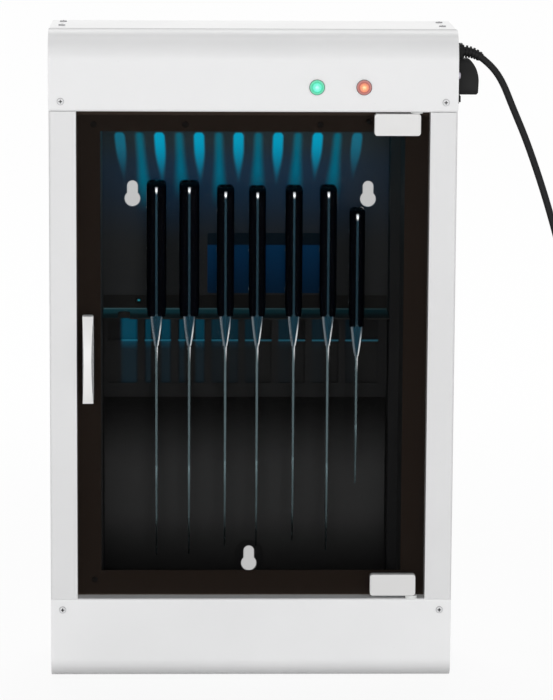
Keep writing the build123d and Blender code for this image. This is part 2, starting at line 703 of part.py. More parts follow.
def knife(x, handle_length, handle_width, whole_length, blade_width, drop):
    """One knife hanging handle up: the blade with its tang, and the two handle scales."""
    depth = small_handle_depth if drop else handle_depth
    handle_length, whole_length = handle_length * knife_scale, whole_length * knife_scale
    low = -drop
    high = low + handle_length
    length = whole_length - handle_length
    tip = low - length
    # side view of the handle, Y and Z
    belly = Spline((depth * 0.92, low), (depth * 0.8, low + handle_length * 0.3),
                   (depth * 0.97, low + handle_length * 0.72), (depth * 0.9, high - 4))
    crown = ThreePointArc((depth * 0.9, high - 4), (depth * 0.52, high), (2.5, high - 5))
    shoulder = ThreePointArc((2.5, high - 5), (0.7, high - 7.5), (0, high - 11))
    side_view = make_face(belly + crown + shoulder + Polyline((0, high - 11), (0, low), (depth * 0.92, low)))
    handle = across(side_view, handle_width)
    # front view, X and Z: drawn in at the bolster, or with a narrow end that passes the rack
    half = handle_width / 2
    front_view = Pos(0, high / 2) * RectangleRounded(handle_width, high, min(half, handle_corner) * 0.98)
    front_view += Pos(0, high / 2 - handle_corner) * Rectangle(handle_width, high - 2 * handle_corner)
    if drop:
        front_view += Pos(0, low / 2) * Rectangle(handle_width - handle_neck, drop)
    else:
        waist = half - handle_draw
        side = ThreePointArc((waist, 0), (waist + 0.75 * handle_draw, handle_draw_length * 0.45),
                             (half, handle_draw_length))
        foot = make_face(side + mirror(side, Plane.YZ) + Line((-waist, 0), (waist, 0))
                         + Line((-half, handle_draw_length), (half, handle_draw_length)))
        front_view -= Pos(0, handle_draw_length / 2) * Rectangle(2 * handle_width, handle_draw_length)
        front_view += foot
    handle &= front_prism(front_view, -1, depth + 1)
    round_section = Pos(0, depth / 2) * RectangleRounded(handle_width, depth, handle_corner)
    handle &= Pos(0, 0, low) * extrude(round_section, handle_length)
    # bolster: a ridge between the scales, broad under the handle, narrow where the blade starts
    wide, narrow = bolster_width / 2, bolster_end_width / 2
    flank = ThreePointArc((wide, low - bolster_cheek), (wide * 0.74, low - bolster_length * 0.52),
                          (narrow, low - bolster_length))
    ridge = Polyline((-wide, low - bolster_cheek), (-wide, low), (0, low + bolster_peak), (wide, low),
                     (wide, low - bolster_cheek))
    bolster = front_prism(make_face(flank + mirror(flank, Plane.YZ) + ridge
                                    + Line((-narrow, low - bolster_length), (narrow, low - bolster_length))),
                          depth * 0.04, depth * 0.88)
    tang_slab = block(-tang_thickness / 2, tang_thickness / 2, -1, depth + 1, low - 1, high + 1)
    scales = handle - tang_slab - bolster
    tang = handle & tang_slab
    # blade: side view cut by its two tapers
    heel = low - bolster_length * 0.7
    spine = Line((1, low - 1), (1, low - length * 0.62))
    point = ThreePointArc((1, low - length * 0.62), (2.2, low - length * 0.84), (blade_width * 0.3, tip))
    edge = ThreePointArc((blade_width * 0.3, tip), (blade_width * 0.82, low - length * 0.8),
                         (blade_width, low - length * 0.5))
    back = Polyline((blade_width, low - length * 0.5), (blade_width, heel), (depth * 0.8, heel),
                    (depth * 0.8, low - 1), (1, low - 1))
    blade = across(make_face(spine + point + edge + back), tang_thickness)
    thick, thin, sharp = tang_thickness / 2, tip_thickness / 2, edge_thickness / 2
    distal = make_face(Polyline((-thick, low), (thick, low), (thin, tip - 1), (-thin, tip - 1), close=True))
    blade &= front_prism(distal, -1, blade_width + 1)
    wedge = make_face(Polyline((-thick, 0), (thick, 0), (thick, depth * 0.3), (sharp, blade_width),
                               (-sharp, blade_width), (-thick, depth * 0.3), close=True))
    blade &= Pos(0, 0, tip - 1) * extrude(wedge, length + 2)
    place = Pos(x, front_y + knife_front, rack_top + knife_rest)
    return place * (blade + bolster + tang), place * scales


# ---------------------------------------------------------------- door

def handle_screw_heights():
    return handle_low + handle_screw_inset, handle_high - handle_screw_inset


def door_glass():
    face = rounded_box_face(glass_left, glass_right, glass_bottom, glass_top, window_corner)
    glass = front_prism(face, glass_front, glass_back)
    for z in handle_screw_heights():
        glass -= rod(handle_screw + 2 * screw_hole_air, (handle_x, glass_front - 1, z),
                     (handle_x, glass_back + 1, z))
    return glass


def hinge_clamp(upper):
    """White clamp that grips the edge of the glass and carries the hinge pin."""
    z0, z1 = (clamp_top - clamp_height, clamp_top) if upper else (clamp_bottom, clamp_bottom + clamp_height)
    left = clamp_right - clamp_width
    face = rounded_box_face(left, clamp_right, z0, z1, clamp_corner)
    clamp = front_prism(face, glass_front - clamp_plate, glass_back + clamp_plate)
    clamp = fillet(clamp.faces().sort_by(Axis.Y)[0].edges(), clamp_edge)
    inner_z = (z0 - 1, z1 - clamp_web) if upper else (z0 + clamp_web, z1 + 1)
    clamp -= block(left - 1, clamp_right + 1, glass_front, glass_back, *inner_z)
    for x in clamp_screw_xs():
        z = (z0 + z1) / 2
        clamp -= rod(clamp_screw_diameter + 2 * screw_hole_air, (x, glass_back, z), (x, glass_back + 4, z))
    web_z = (z1 - clamp_web - 1, z1 + 1) if upper else (z0 - 1, z0 + clamp_web + 1)
    return clamp - rod(pin_diameter + pin_fit, (hinge_x, hinge_y, web_z[0]), (hinge_x, hinge_y, web_z[1]))


def hinge_pins():
    """Pins that stand out of the clamps into the bushes."""
    upper = rod(pin_diameter, (hinge_x, hinge_y, clamp_top - clamp_web),
                (hinge_x, hinge_y, clamp_top + pin_length))
    lower = rod(pin_diameter, (hinge_x, hinge_y, clamp_bottom + clamp_web),
                (hinge_x, hinge_y, clamp_bottom - pin_length))
    return [upper, lower]


def pivot_bushes():
    """Flanged nylon bushes in the lips of the two covers."""
    bore = pin_diameter + 2 * pin_fit
    upper = rod(bush_flange, (hinge_x, hinge_y, opening_top - upper_bush_thickness),
                (hinge_x, hinge_y, opening_top))
    upper += rod(bush_barrel, (hinge_x, hinge_y, opening_top), (hinge_x, hinge_y, opening_top + bush_length))
    lower = rod(bush_flange, (hinge_x, hinge_y, base_height),
                (hinge_x, hinge_y, base_height + lower_bush_thickness))
    lower += rod(bush_barrel, (hinge_x, hinge_y, base_height - bush_length), (hinge_x, hinge_y, base_height))
    whole = (hinge_x, hinge_y, 0), (hinge_x, hinge_y, cabinet_height)
    return [upper - rod(bore, *whole), lower - rod(bore, *whole)]


def clamp_screw_xs():
    middle = clamp_right - clamp_width / 2
    return middle - clamp_screw_spacing / 2, middle + clamp_screw_spacing / 2


def clamp_screws():
    """Grub screws that press the clamps onto the glass from behind."""
    solids = []
    for z in (clamp_top - clamp_height / 2, clamp_bottom + clamp_height / 2):
        for x in clamp_screw_xs():
            screw = rod(clamp_screw_diameter, (x, glass_back, z),
                        (x, glass_back + clamp_plate + clamp_screw_rise, z))
            end = facing_back(x, glass_back + clamp_plate + clamp_screw_rise, z)
            hexagon = RegularPolygon(clamp_screw_diameter / 4, 6)
            solids.append(screw - end * extrude(hexagon, -1.2))
    return solids


def bow_handle():
    """Bowed pull with broad ends and a narrow waist."""
    middle = (handle_low + handle_high) / 2
    outer_y = glass_front - handle_reach
    outer = ThreePointArc((glass_front - 8, handle_low), (outer_y, middle), (glass_front - 8, handle_high))
    inner_y = outer_y + handle_thickness
    inner_low, inner_high = handle_low + handle_foot, handle_high - handle_foot
    inner = ThreePointArc((glass_front - 4, inner_low), (inner_y, middle), (glass_front - 4, inner_high))
    feet = Line((glass_front - 8, handle_low), (glass_front, handle_low))
    feet += Polyline((glass_front, handle_low), (glass_front, inner_low), (glass_front - 4, inner_low))
    feet += Polyline((glass_front - 4, inner_high), (glass_front, inner_high), (glass_front, handle_high),
                     (glass_front - 8, handle_high))
    bow = Pos(handle_x, 0, 0) * across(make_face(outer + inner + feet), handle_end_width)
    end, waist = handle_end_width / 2, handle_waist_width / 2
    right = ThreePointArc((end, handle_low), (waist, middle), (end, handle_high))
    left = ThreePointArc((-end, handle_high), (-waist, middle), (-end, handle_low))
    outline = make_face(left + right + Line((-end, handle_low), (end, handle_low))
                        + Line((-end, handle_high), (end, handle_high)))
    bow &= front_prism(Pos(handle_x, 0) * outline, outer_y - 1, glass_front + 1)
    for z in handle_screw_heights():
        bow -= rod(handle_screw - 0.4, (handle_x, glass_front + 1, z), (handle_x, glass_front - 5, z))
    return bow


def handle_screws():
    solids = []
    seat = glass_back + strike_thickness
    for z in handle_screw_heights():
        screw = pan_screw(7.0, 2.2, handle_screw - 0.6, seat - glass_front + 4)
        solids.append(facing_back(handle_x, seat, z) * screw)
    return solids


def strike_plate():
    """Steel strip behind the glass: the handle screws hold it and the catch pulls it."""
    face = rounded_box_face(handle_x - strike_width / 2, handle_x + strike_width / 2,
                            handle_low, handle_high, window_corner)
    plate = front_prism(face, glass_back, glass_back + strike_thickness)
    for z in handle_screw_heights():
        plate -= rod(handle_screw, (handle_x, glass_back - 1, z), (handle_x, glass_back + 3, z))
    return plate


def magnet_catch():
    """Magnet in a ribbed holder on the frame, opposite the strike plate."""
    middle = (handle_low + handle_high) / 2
    y0 = glass_back + strike_thickness + catch_air
    face = rounded_box_face(handle_x - catch_width / 2, handle_x + catch_width / 2,
                            middle - catch_height / 2, middle + catch_height / 2, 2)
    holder = front_prism(face, y0, frame_y)
    for shift in (-4, 4):
        holder -= block(handle_x - catch_width / 2, handle_x + catch_width / 2, y0 - 1, y0 + 2,
                        middle + shift * 2 - 1, middle + shift * 2 + 1)
    return holder


def switch_body():
    """Safety switch behind the frame that puts the lamp out when the door opens."""
    y0 = liner_y
    body = block(plunger_x - switch_width / 2, plunger_x + switch_width / 2, y0, y0 + switch_depth,
                 ceiling_height + liner_sheet + 1, ceiling_height + liner_sheet + 1 + switch_height)
    body -= rod(plunger_diameter + 2 * plunger_fit, (plunger_x, y0 - 1, plunger_z),
                (plunger_x, y0 + switch_depth - 3, plunger_z))
    for shift in (-3, 3):
        body += block(plunger_x + shift - 0.4, plunger_x + shift + 0.4, y0 + switch_depth,
                      y0 + switch_depth + 5, plunger_z - 2, plunger_z + 2)
    return body


def switch_plunger():
    end = liner_y + switch_depth - 3 - plunger_travel - 0.5
    rod_part = rod(plunger_diameter, (plunger_x, glass_back + plunger_air, plunger_z), (plunger_x, end, plunger_z))
    return fillet(rod_part.faces().sort_by(Axis.Y)[0].edges(), 0.8)


# ---------------------------------------------------------------- indicator lights

def bezel(x):
    """Chrome light holder with its nut behind the cover."""
    place = facing_front(x, front_y, light_height)
    ring = extrude(Circle(bezel_diameter / 2), bezel_rise)
    ring = fillet(ring.edges().sort_by(Axis.Z)[-1], 0.7)
    ring += extrude(Circle(bezel_barrel / 2), -bezel_length)
    ring -= Pos(0, 0, bezel_rise - lens_seat) * extrude(Circle(lens_diameter / 2 + lens_air), 4)
    nut = extrude(RegularPolygon(nut_diameter / 2, 6) - Circle(bezel_barrel / 2), -nut_thickness)
    return place * (ring + Pos(0, 0, -sheet) * nut)


def lens(x):
    """Domed lens that fills the front of its holder."""
    radius = lens_diameter / 2
    foot, rim, crown = bezel_rise - lens_seat, bezel_rise + lens_rim, bezel_rise + lens_dome
    ball_radius = (radius ** 2 + (crown - rim) ** 2) / (2 * (crown - rim))
    dome = Pos(0, 0, crown - ball_radius) * Sphere(ball_radius)
    body = Pos(0, 0, foot) * extrude(Circle(radius), 2 * crown)
    return facing_front(x, front_y, light_height) * (body & dome)


# ---------------------------------------------------------------- lamp and electrics

def lamp_place():
    return Pos(slot_row_x, chamber_back - tube_from_back, tube_height)


def along_x(diameter, x0, x1):
    return rod(diameter, (x0, 0, 0), (x1, 0, 0))


def lamp_tube():
    half = tube_length / 2 - cap_length
    return lamp_place() * along_x(tube_diameter, -half, half)


def lamp_caps():
    """Metal end caps, each with two contact pins."""
    half = tube_length / 2
    cap = along_x(cap_diameter, half - cap_length, half)
    cap = fillet(cap.edges().sort_by(Axis.X)[-1], 1.0)
    for side in (-1, 1):
        pin = Pos(0, side * lamp_pin_spacing / 2, 0) * along_x(lamp_pin_diameter, half - 1, half + lamp_pin_length)
        cap += pin
    return [lamp_place() * solid for solid in both_sides(cap)]


def lamp_holders():
    """Two sockets that stand on the ceiling plate and take the pins."""
    foot = ceiling_height + liner_sheet - tube_height
    x0 = tube_length / 2 + holder_air
    upright = Pos(0, foot / 2) * Rectangle(holder_width, -foot)
    upright += Circle(holder_width / 2)
    holder = Pos(x0 + holder_thickness / 2, 0, 0) * across(upright, holder_thickness / 2)
    holder += block(x0, x0 + 2 * holder_thickness, -holder_width / 2, holder_width / 2, foot, foot + 3)
    for side in (-1, 1):
        holder -= Pos(0, side * lamp_pin_spacing / 2, 0) * along_x(
            lamp_pin_diameter + 2 * seam, x0 - 1, x0 + lamp_pin_length + 0.2)
    return [lamp_place() * solid for solid in both_sides(holder)]


def ballast():
    """Lamp driver in a box with fixing ears, on the ceiling plate."""
    z0 = ceiling_height + liner_sheet
    x0, x1 = ballast_x - ballast_length / 2, ballast_x + ballast_length / 2
    y0 = front_y + ballast_front
    box = block(x0, x1, y0, y0 + ballast_width, z0, z0 + ballast_height)
    box = chamfer(box.edges().filter_by(Axis.X).sort_by(Axis.Z)[-2:], 2.5)
    for x, side in ((x0, -1), (x1, 1)):
        a, b = sorted((x, x + side * ballast_ear))
        ear = block(a, b, y0 + 8, y0 + ballast_width - 8, z0, z0 + ballast_ear_height)
        middle = (a + b) / 2
        box += ear - Pos(middle, y0 + ballast_width / 2, z0) * Cylinder(2.1, 6 * ballast_ear_height)
    return box


def terminal_block():
    """Five-way screw terminal between inlet, switch and driver."""
    z0 = ceiling_height + liner_sheet
    y0 = front_y + ballast_front
    length = terminal_ways * terminal_pitch
    body = block(terminal_x, terminal_x + length, y0, y0 + terminal_width, z0, z0 + terminal_height * 0.6)
    for way in range(terminal_ways):
        x = terminal_x + (way + 0.5) * terminal_pitch
        tower = block(x - terminal_pitch * 0.36, x + terminal_pitch * 0.36, y0 + 3, y0 + terminal_width - 3,
                      z0 + terminal_height * 0.6, z0 + terminal_height)
        for y in (y0 + 5.5, y0 + terminal_width - 5.5):
            tower -= Pos(x, y, z0 + terminal_height) * Cylinder(1.5, 6)
        body += tower
        body -= rod(3.0, (x, y0 - 1, z0 + 4), (x, y0 + 5, z0 + 4))
        body -= rod(3.0, (x, y0 + terminal_width - 5, z0 + 4), (x, y0 + terminal_width + 1, z0 + 4))
    return body


# ---------------------------------------------------------------- screws

def header_screw_places():
    z = opening_top + header_screw_above
    return [facing_front(side * header_screw_x, front_y, z) for side in (-1, 1)]


def base_screw_places():
    z = base_height - base_screw_below
    return [facing_front(side * header_screw_x, front_y, z) for side in (-1, 1)]


def top_screw_places():
    depths = (front_y + top_screw_front, front_y + top_screw_back)
    return [Pos(side * top_screw_x, y, cabinet_height) for side in (-1, 1) for y in depths]


def cover_screws():
    screw = pan_screw(cover_screw_head, cover_screw_rise, cover_screw_shank, cover_screw_length)
    return [place * screw for place in header_screw_places() + base_screw_places() + top_screw_places()]


def frame_screw_places():
    spots = [(frame_screw_x, frame_screw_upper), (frame_screw_inner_x, frame_screw_upper),
             (frame_screw_x, frame_screw_lower)]
    return [facing_front(side * x, frame_y, z) for x, z in spots for side in (-1, 1)]


def frame_screws():
    screw = pan_screw(frame_screw_head, frame_screw_rise, cover_screw_shank, frame_screw_length)
    return [place * screw for place in frame_screw_places()]


def rack_screw_places():
    z = rack_top + rack_flange * 0.62
    return [facing_front(side * rack_screw_x, chamber_back - rack_sheet, z) for side in (-1, 1)]


def rack_screws():
    screw = pan_screw(frame_screw_head, frame_screw_rise, cover_screw_shank, rack_sheet + liner_sheet)
    return [place * screw for place in rack_screw_places()]


def inlet_screw_places():
    x = half_width + inlet_ear
    return [facing_right(x, inlet_y + side * inlet_screw_spacing / 2, inlet_height) for side in (-1, 1)]


def inlet_screws():
    screw = pan_screw(inlet_screw_head, inlet_screw_rise, cover_screw_shank, inlet_ear + 4)
    return [place * screw for place in inlet_screw_places()]


# ---------------------------------------------------------------- mains inlet and lead

def side_prism(face, x0, x1):
    """A face drawn in Y and Z, pulled from x0 to x1."""
    return Pos(x0, 0, 0) * extrude(Plane.YZ * face, x1 - x0)


def mains_inlet():
    """Inlet module on the right side of the header: flange, barrel, socket and fuse drawer."""
    outer = half_width + inlet_flange
    ears = Pos(inlet_y, inlet_height) * RectangleRounded(inlet_width, inlet_ear_tall, inlet_corner)
    face = Pos(inlet_y, inlet_height) * RectangleRounded(inlet_block_width, inlet_tall, inlet_corner)
    flange = side_prism(face, half_width, outer)
    flange = fillet(flange.faces().sort_by(Axis.X)[-1].edges(), inlet_edge)
    flange += side_prism(ears, half_width, half_width + inlet_ear)
    barrel = Pos(inlet_y, inlet_height) * RectangleRounded(inlet_barrel_width, inlet_barrel_tall, 2)
    inlet = flange + side_prism(barrel, half_width - inlet_barrel_depth, half_width)
    drawer_low = inlet_height - inlet_tall / 2 + fuse_drawer_from_edge
    drawer = Pos(inlet_y, drawer_low + fuse_drawer_height / 2) * RectangleRounded(
        socket_width * 0.8, fuse_drawer_height, 1)
    inlet += side_prism(drawer, outer, outer + fuse_drawer_rise)
    socket = Pos(inlet_y, connector_height) * RectangleRounded(connector_nose_width + 1, connector_nose_tall + 1, 3)
    inlet -= side_prism(socket, outer - socket_depth, outer + 1)
    for place in inlet_screw_places():
        inlet -= place * Cylinder(cover_screw_shank / 2 + screw_hole_air, 4 * inlet_flange)
    return inlet


def mains_connector():
    """Moulded connector with a domed back and a shoulder that lets the lead out."""
    base_x = half_width + inlet_flange + seam
    low, high = connector_height - connector_tall / 2, connector_height + connector_tall / 2
    out = connector_reach
    outline = Polyline((0, high), (0, low), (out - 1.5, low), (out, low + 2), (out + 0.4, low + 12))
    dome = ThreePointArc((out + 0.4, low + 12), (out - 1.4, low + 24), (out - 7, high - 1.5))
    front_view = make_face(outline + dome + Polyline((out - 7, high - 1.5), (out - 9.5, high), (0, high)))
    half = connector_width / 2
    body = Pos(base_x, 0, 0) * front_prism(front_view, inlet_y - half, inlet_y + half)
    section = Pos(inlet_y, connector_height) * RectangleRounded(connector_width, connector_tall + 1, 6)
    body &= side_prism(section, base_x - 1, base_x + out + 2)
    nose = Pos(inlet_y, connector_height) * RectangleRounded(connector_nose_width, connector_nose_tall, 2.5)
    body += side_prism(nose, base_x - socket_depth + 1, base_x)
    shoulder = Pos(inlet_y, shoulder_middle) * RectangleRounded(shoulder_width, shoulder_height, 4)
    return body + side_prism(shoulder, base_x, base_x + shoulder_reach)


def relief_curve():
    """Arc that leaves the connector's shoulder level and meets the lead in line."""
    end = Vector(*cord_points[0])
    first = (Vector(*cord_points[1]) - end).normalized()
    start_x = half_width + inlet_flange + seam + shoulder_reach
    drop = (end.X - start_x) * tan(atan2(-first.Z, first.X) / 2)
    return TangentArc((start_x, end.Y, end.Z + drop), tuple(end), tangent=(1, 0, 0))


def strain_relief():
    """Ribbed sleeve that tapers from the connector to the lead."""
    curve = relief_curve()
    core_start = Plane(origin=curve @ 0, z_dir=curve % 0) * Circle(relief_end_diameter / 2 + 0.6)
    core_end = Plane(origin=curve @ 1, z_dir=curve % 1) * Circle(relief_end_diameter / 2)
    relief = sweep([core_start, core_end], path=curve, multisection=True)
    for number in range(relief_ribs):
        share = number / relief_ribs
        diameter = relief_start_diameter + (relief_end_diameter + 1 - relief_start_diameter) * share
        rib = Plane(origin=curve @ share, z_dir=curve % share) * Circle(diameter / 2)
        relief += extrude(rib, relief_rib_width)
    return relief


def corner_radii(points):
    """As large an arc at every corner as its two runs allow."""
    radii = []
    for before, here, after in zip(points, points[1:], points[2:]):
        arriving, leaving = Vector(*here) - Vector(*before), Vector(*after) - Vector(*here)
        turn = radians(arriving.get_angle(leaving))
        radii.append(0.45 * min(arriving.length, leaving.length) / tan(turn / 2))
    return radii


def tube(path):
    end = Plane(origin=path @ 0, z_dir=path % 0) * Circle(cord_diameter / 2)
    return sweep(end, path=path)


def mains_cord():
    radii = corner_radii(cord_points)
    print("lead: corner radii", [round(radius, 1) for radius in radii])
    path = FilletPolyline(*cord_points, radius=radii)
    solid = tube(path)
    section = pi * cord_diameter ** 2 / 4
    print("lead: length", round(path.length, 1), "volume share", round(solid.volume / (section * path.length), 5))
    return solid


def biarc(start, start_way, end, end_way):
    """Two arcs that join two points with the given directions."""
    a, b = Vector(*start), Vector(*end)
    u, v = Vector(*start_way).normalized(), Vector(*end_way).normalized()
    span, ways = b - a, u + v
    spread = 2 * (1 - u.dot(v))
    along = span.dot(ways)
    if spread < 1e-9:
        reach = span.dot(span) / (4 * span.dot(v))
    else:
        reach = (-along + sqrt(along ** 2 + spread * span.dot(span))) / spread
    near, far = a + u * reach, b - v * reach
    joint = (near + far) * 0.5
    way = (far - near).normalized()
    return [TangentArc(tuple(a), tuple(joint), tangent=tuple(u)),
            TangentArc(tuple(joint), tuple(b), tangent=tuple(way))]


def coil_path():
    """Two flat layers of turns: inward below, a climb of half a turn, outward above, then to the plug."""
    x, edges = coil_x - coil_outer_radius, []
    heading, height = 1, coil_height
    edges.append(Line((x, coil_y - cord_diameter, height), (x, coil_y, height)))
    halves = 2 * coil_turns
    steps = [-coil_step / 2] * halves + [0] + [coil_step / 2] * halves
    radius = coil_outer_radius
    for number, change in enumerate(steps):
        climbing = number == halves
        if number > halves:
            radius += change
        rise = coil_step if climbing else 0
        side = 1 if heading > 0 else -1
        far_x = x + side * 2 * radius
        top = (x + side * radius, coil_y + side * radius, height + rise / 2)
        slope = pi / 2 * rise / (pi * radius)
        edges += biarc((x, coil_y, height), (0, heading, 0), top, (side, 0, slope))
        edges += biarc(top, (side, 0, slope), (far_x, coil_y, height + rise), (0, -heading, 0))
        x, height, heading = far_x, height + rise, -heading
        if number < halves:
            radius += change
    tail = coil_y - tail_run
    edges += biarc((x, coil_y, height), (0, heading, 0), (x, tail, plug_height), (0, heading, 0))
    edges.append(Line((x, tail, plug_height), (x, tail - cord_diameter, plug_height)))
    return Wire(edges)


def least_gap(path, step=2.0):
    """Least air between turns, measured between points on the centre line."""
    count = int(path.length / step)
    places = [path @ (k / count) for k in range(count + 1)]
    skip = int(3.0 * cord_diameter / step)
    nearest = min((places[i] - places[j]).length
                  for i in range(count + 1) for j in range(i + skip, count + 1))
    return nearest - cord_diameter


def cord_coil():
    path = coil_path()
    solid = tube(path)
    section = pi * cord_diameter ** 2 / 4
    print("coil: length", round(path.length, 1), "volume share", round(solid.volume / (section * path.length), 5),
          "least gap", round(least_gap(path), 2))
    return solid


def plug_place():
    return Plane(origin=coil_path() @ 1, x_dir=(1, 0, 0), z_dir=(0, -1, 0)).location


def mains_plug():
    """Round two-pin plug that lies on its side; drawn from the end of the lead forward."""
    neck, grip = plug_relief_length, plug_relief_length + plug_length - plug_front_length
    end = plug_relief_length + plug_length
    line = Polyline((0, 0), (relief_end_diameter / 2, 0), (plug_grip_radius * 0.62, neck))
    line += Line((plug_grip_radius * 0.62, neck), (plug_grip_radius * 0.9, neck))
    line += ThreePointArc((plug_grip_radius * 0.9, neck), (plug_grip_radius, (neck + grip) / 2),
                          (plug_grip_radius, grip))
    line += Polyline((plug_grip_radius, grip), (plug_radius - 2, grip), (plug_radius, grip + 2),
                     (plug_radius, end - 1), (plug_radius - 1, end), (0, end), (0, 0))
    return plug_place() * revolve(Plane.XZ * make_face(line), Axis.Z)


def plug_pins():
    end = plug_relief_length + plug_length
    pins = []
    for side in (-1, 1):
        pin = extrude(Circle(plug_pin_diameter / 2), plug_pin_length)
        pin = fillet(pin.edges().sort_by(Axis.Z)[-1], plug_pin_diameter * 0.4)
        pins.append(plug_place() * Pos(side * plug_pin_spacing / 2, 0, end) * pin)
    return pins


# ---------------------------------------------------------------- all pieces

def all_parts():
    parts = {
        "side_panels": side_panels(),
        "back_panel": back_panel(),
        "top_plate": top_plate(),
        "bottom_plate": bottom_plate(),
        "upper_cover": upper_cover(),
        "lower_cover": lower_cover(),
        "cover_brackets": cover_brackets(),
        "cover_screws": cover_screws(),
        "door_frame": door_frame(),
        "frame_screws": frame_screws(),
        "chamber_liner": chamber_liner(),
        "chamber_floor": chamber_floor(),
        "slotted_ceiling": slotted_ceiling(),
        "lower_panel": lower_panel(),
        "blank_plate": blank_plate(),
        "knife_rack": knife_rack(),
        "rack_screws": rack_screws(),
        "blade_guard": blade_guard(),
        "door_glass": door_glass(),
        "upper_hinge_clamp": hinge_clamp(True),
        "lower_hinge_clamp": hinge_clamp(False),
        "hinge_pins": hinge_pins(),
        "pivot_bushes": pivot_bushes(),
        "clamp_screws": clamp_screws(),
        "bow_handle": bow_handle(),
        "handle_screws": handle_screws(),
        "strike_plate": strike_plate(),
        "magnet_catch": magnet_catch(),
        "switch_body": switch_body(),
        "switch_plunger": switch_plunger(),
        "light_bezels": [bezel(green_x), bezel(red_x)],
        "green_lens": lens(green_x),
        "red_lens": lens(red_x),
        "lamp_tube": lamp_tube(),
        "lamp_caps": lamp_caps(),
        "lamp_holders": lamp_holders(),
        "ballast": ballast(),
        "terminal_block": terminal_block(),
        "mains_inlet": mains_inlet(),
        "inlet_screws": inlet_screws(),
        "mains_connector": mains_connector(),
        "strain_relief": strain_relief(),
        "mains_cord": mains_cord(),
        "cord_coil": cord_coil(),
        "mains_plug": mains_plug(),
        "plug_pins": plug_pins(),
    }
    for number, sizes in enumerate(knives, start=1):
        blade, scales = knife(*sizes)
        parts[f"knife_{number}_blade"] = blade
        parts[f"knife_{number}_handle"] = scales
    return parts


os.makedirs("parts", exist_ok=True)
for name, shape in all_parts().items():
    whole = Compound(children=list(shape)) if isinstance(shape, list) else shape
    export_step(whole, f"parts/{name}.step")
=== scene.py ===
import math

import bpy
from mathutils import Matrix, Vector


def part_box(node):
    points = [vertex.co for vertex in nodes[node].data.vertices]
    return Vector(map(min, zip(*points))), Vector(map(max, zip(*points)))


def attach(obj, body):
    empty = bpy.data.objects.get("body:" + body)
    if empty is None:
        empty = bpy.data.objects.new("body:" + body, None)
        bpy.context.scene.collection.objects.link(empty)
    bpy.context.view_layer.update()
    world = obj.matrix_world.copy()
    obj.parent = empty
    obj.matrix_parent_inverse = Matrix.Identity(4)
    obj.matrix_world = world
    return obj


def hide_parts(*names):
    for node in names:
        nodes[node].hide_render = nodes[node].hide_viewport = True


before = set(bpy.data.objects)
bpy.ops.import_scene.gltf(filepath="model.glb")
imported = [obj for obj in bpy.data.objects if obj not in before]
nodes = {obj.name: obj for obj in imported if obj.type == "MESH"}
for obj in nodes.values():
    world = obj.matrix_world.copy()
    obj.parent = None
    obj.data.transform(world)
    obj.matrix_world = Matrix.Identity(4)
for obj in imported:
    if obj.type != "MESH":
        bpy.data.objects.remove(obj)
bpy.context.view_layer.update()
mm = 0.001
print("frame loaded:", len(nodes), "nodes")

# the photograph's camera

cameraView = {
    "place": (-72.53, -3548.19, 926.69),  # mm
    "yaw": 1.586,  # degrees to the right of straight ahead
    "pitch": 9.667,  # degrees down
    "roll": 0.327,
    "lens": 183.81,
    "sensor": 36.0,
}


def makeCamera(view):
    yaw, pitch, roll = (math.radians(view[key]) for key in ("yaw", "pitch", "roll"))
    ahead = Vector((math.sin(yaw) * math.cos(pitch), math.cos(yaw) * math.cos(pitch), -math.sin(pitch)))
    level = Vector((math.cos(yaw), -math.sin(yaw), 0))
    above = level.cross(ahead)
    right = math.cos(roll) * level + math.sin(roll) * above
    up = math.cos(roll) * above - math.sin(roll) * level
    turn = Matrix((right, up, -ahead)).transposed()
    data = bpy.data.cameras.new("photoCamera")
    data.lens, data.sensor_width = view["lens"], view["sensor"]
    data.clip_start, data.clip_end = 0.05, 60
    camera = bpy.data.objects.new("photoCamera", data)
    camera.matrix_world = Matrix.Translation(Vector(view["place"]) * mm) @ turn.to_4x4()
    bpy.context.scene.collection.objects.link(camera)
    bpy.context.scene.camera = camera


makeCamera(cameraView)
bpy.context.scene.view_settings.view_transform = "Standard"
print("camera placed")


# helpers for shader and geometry trees

def put(tree, kind, inputs=None, **settings):
    made = tree.nodes.new(kind)
    for key, value in settings.items():
        setattr(made, key, value)
    for key, value in (inputs or {}).items():
        if isinstance(value, bpy.types.NodeSocket):
            tree.links.new(value, made.inputs[key])
        else:
            made.inputs[key].default_value = value
    return made


def calc(tree, operation, *values, clamp=False):
    inputs = dict(enumerate(values))
    return put(tree, "ShaderNodeMath", inputs, operation=operation, use_clamp=clamp).outputs[0]


def times(tree, first, second):
    return calc(tree, "MULTIPLY", first, second)


def plus(tree, first, second):
    return calc(tree, "ADD", first, second)


def minus(tree, first, second):
    return calc(tree, "SUBTRACT", first, second)


def isAbove(tree, value, limit):
    return calc(tree, "GREATER_THAN", value, limit)


def isBelow(tree, value, limit):
    return calc(tree, "LESS_THAN", value, limit)


def scaled(tree, colour, factor):
    made = put(tree, "ShaderNodeVectorMath", {0: colour, "Scale": factor}, operation="SCALE")
    return made.outputs[0]


def split(tree, vector):
    return put(tree, "ShaderNodeSeparateXYZ", {0: vector}).outputs


def distanceFrom(tree, axes, centre):
    # seen from the front
    squares = [calc(tree, "POWER", minus(tree, axes[axis], centre[index]), 2.0)
               for axis, index in (("X", 0), ("Z", 2))]
    return calc(tree, "SQRT", plus(tree, *squares))


def span(tree, value, low, high, toLow=0.0, toHigh=1.0, smooth=False):
    kind = "SMOOTHSTEP" if smooth else "LINEAR"
    inputs = {"Value": value, "From Min": low, "From Max": high, "To Min": toLow, "To Max": toHigh}
    return put(tree, "ShaderNodeMapRange", inputs, interpolation_type=kind).outputs[0]


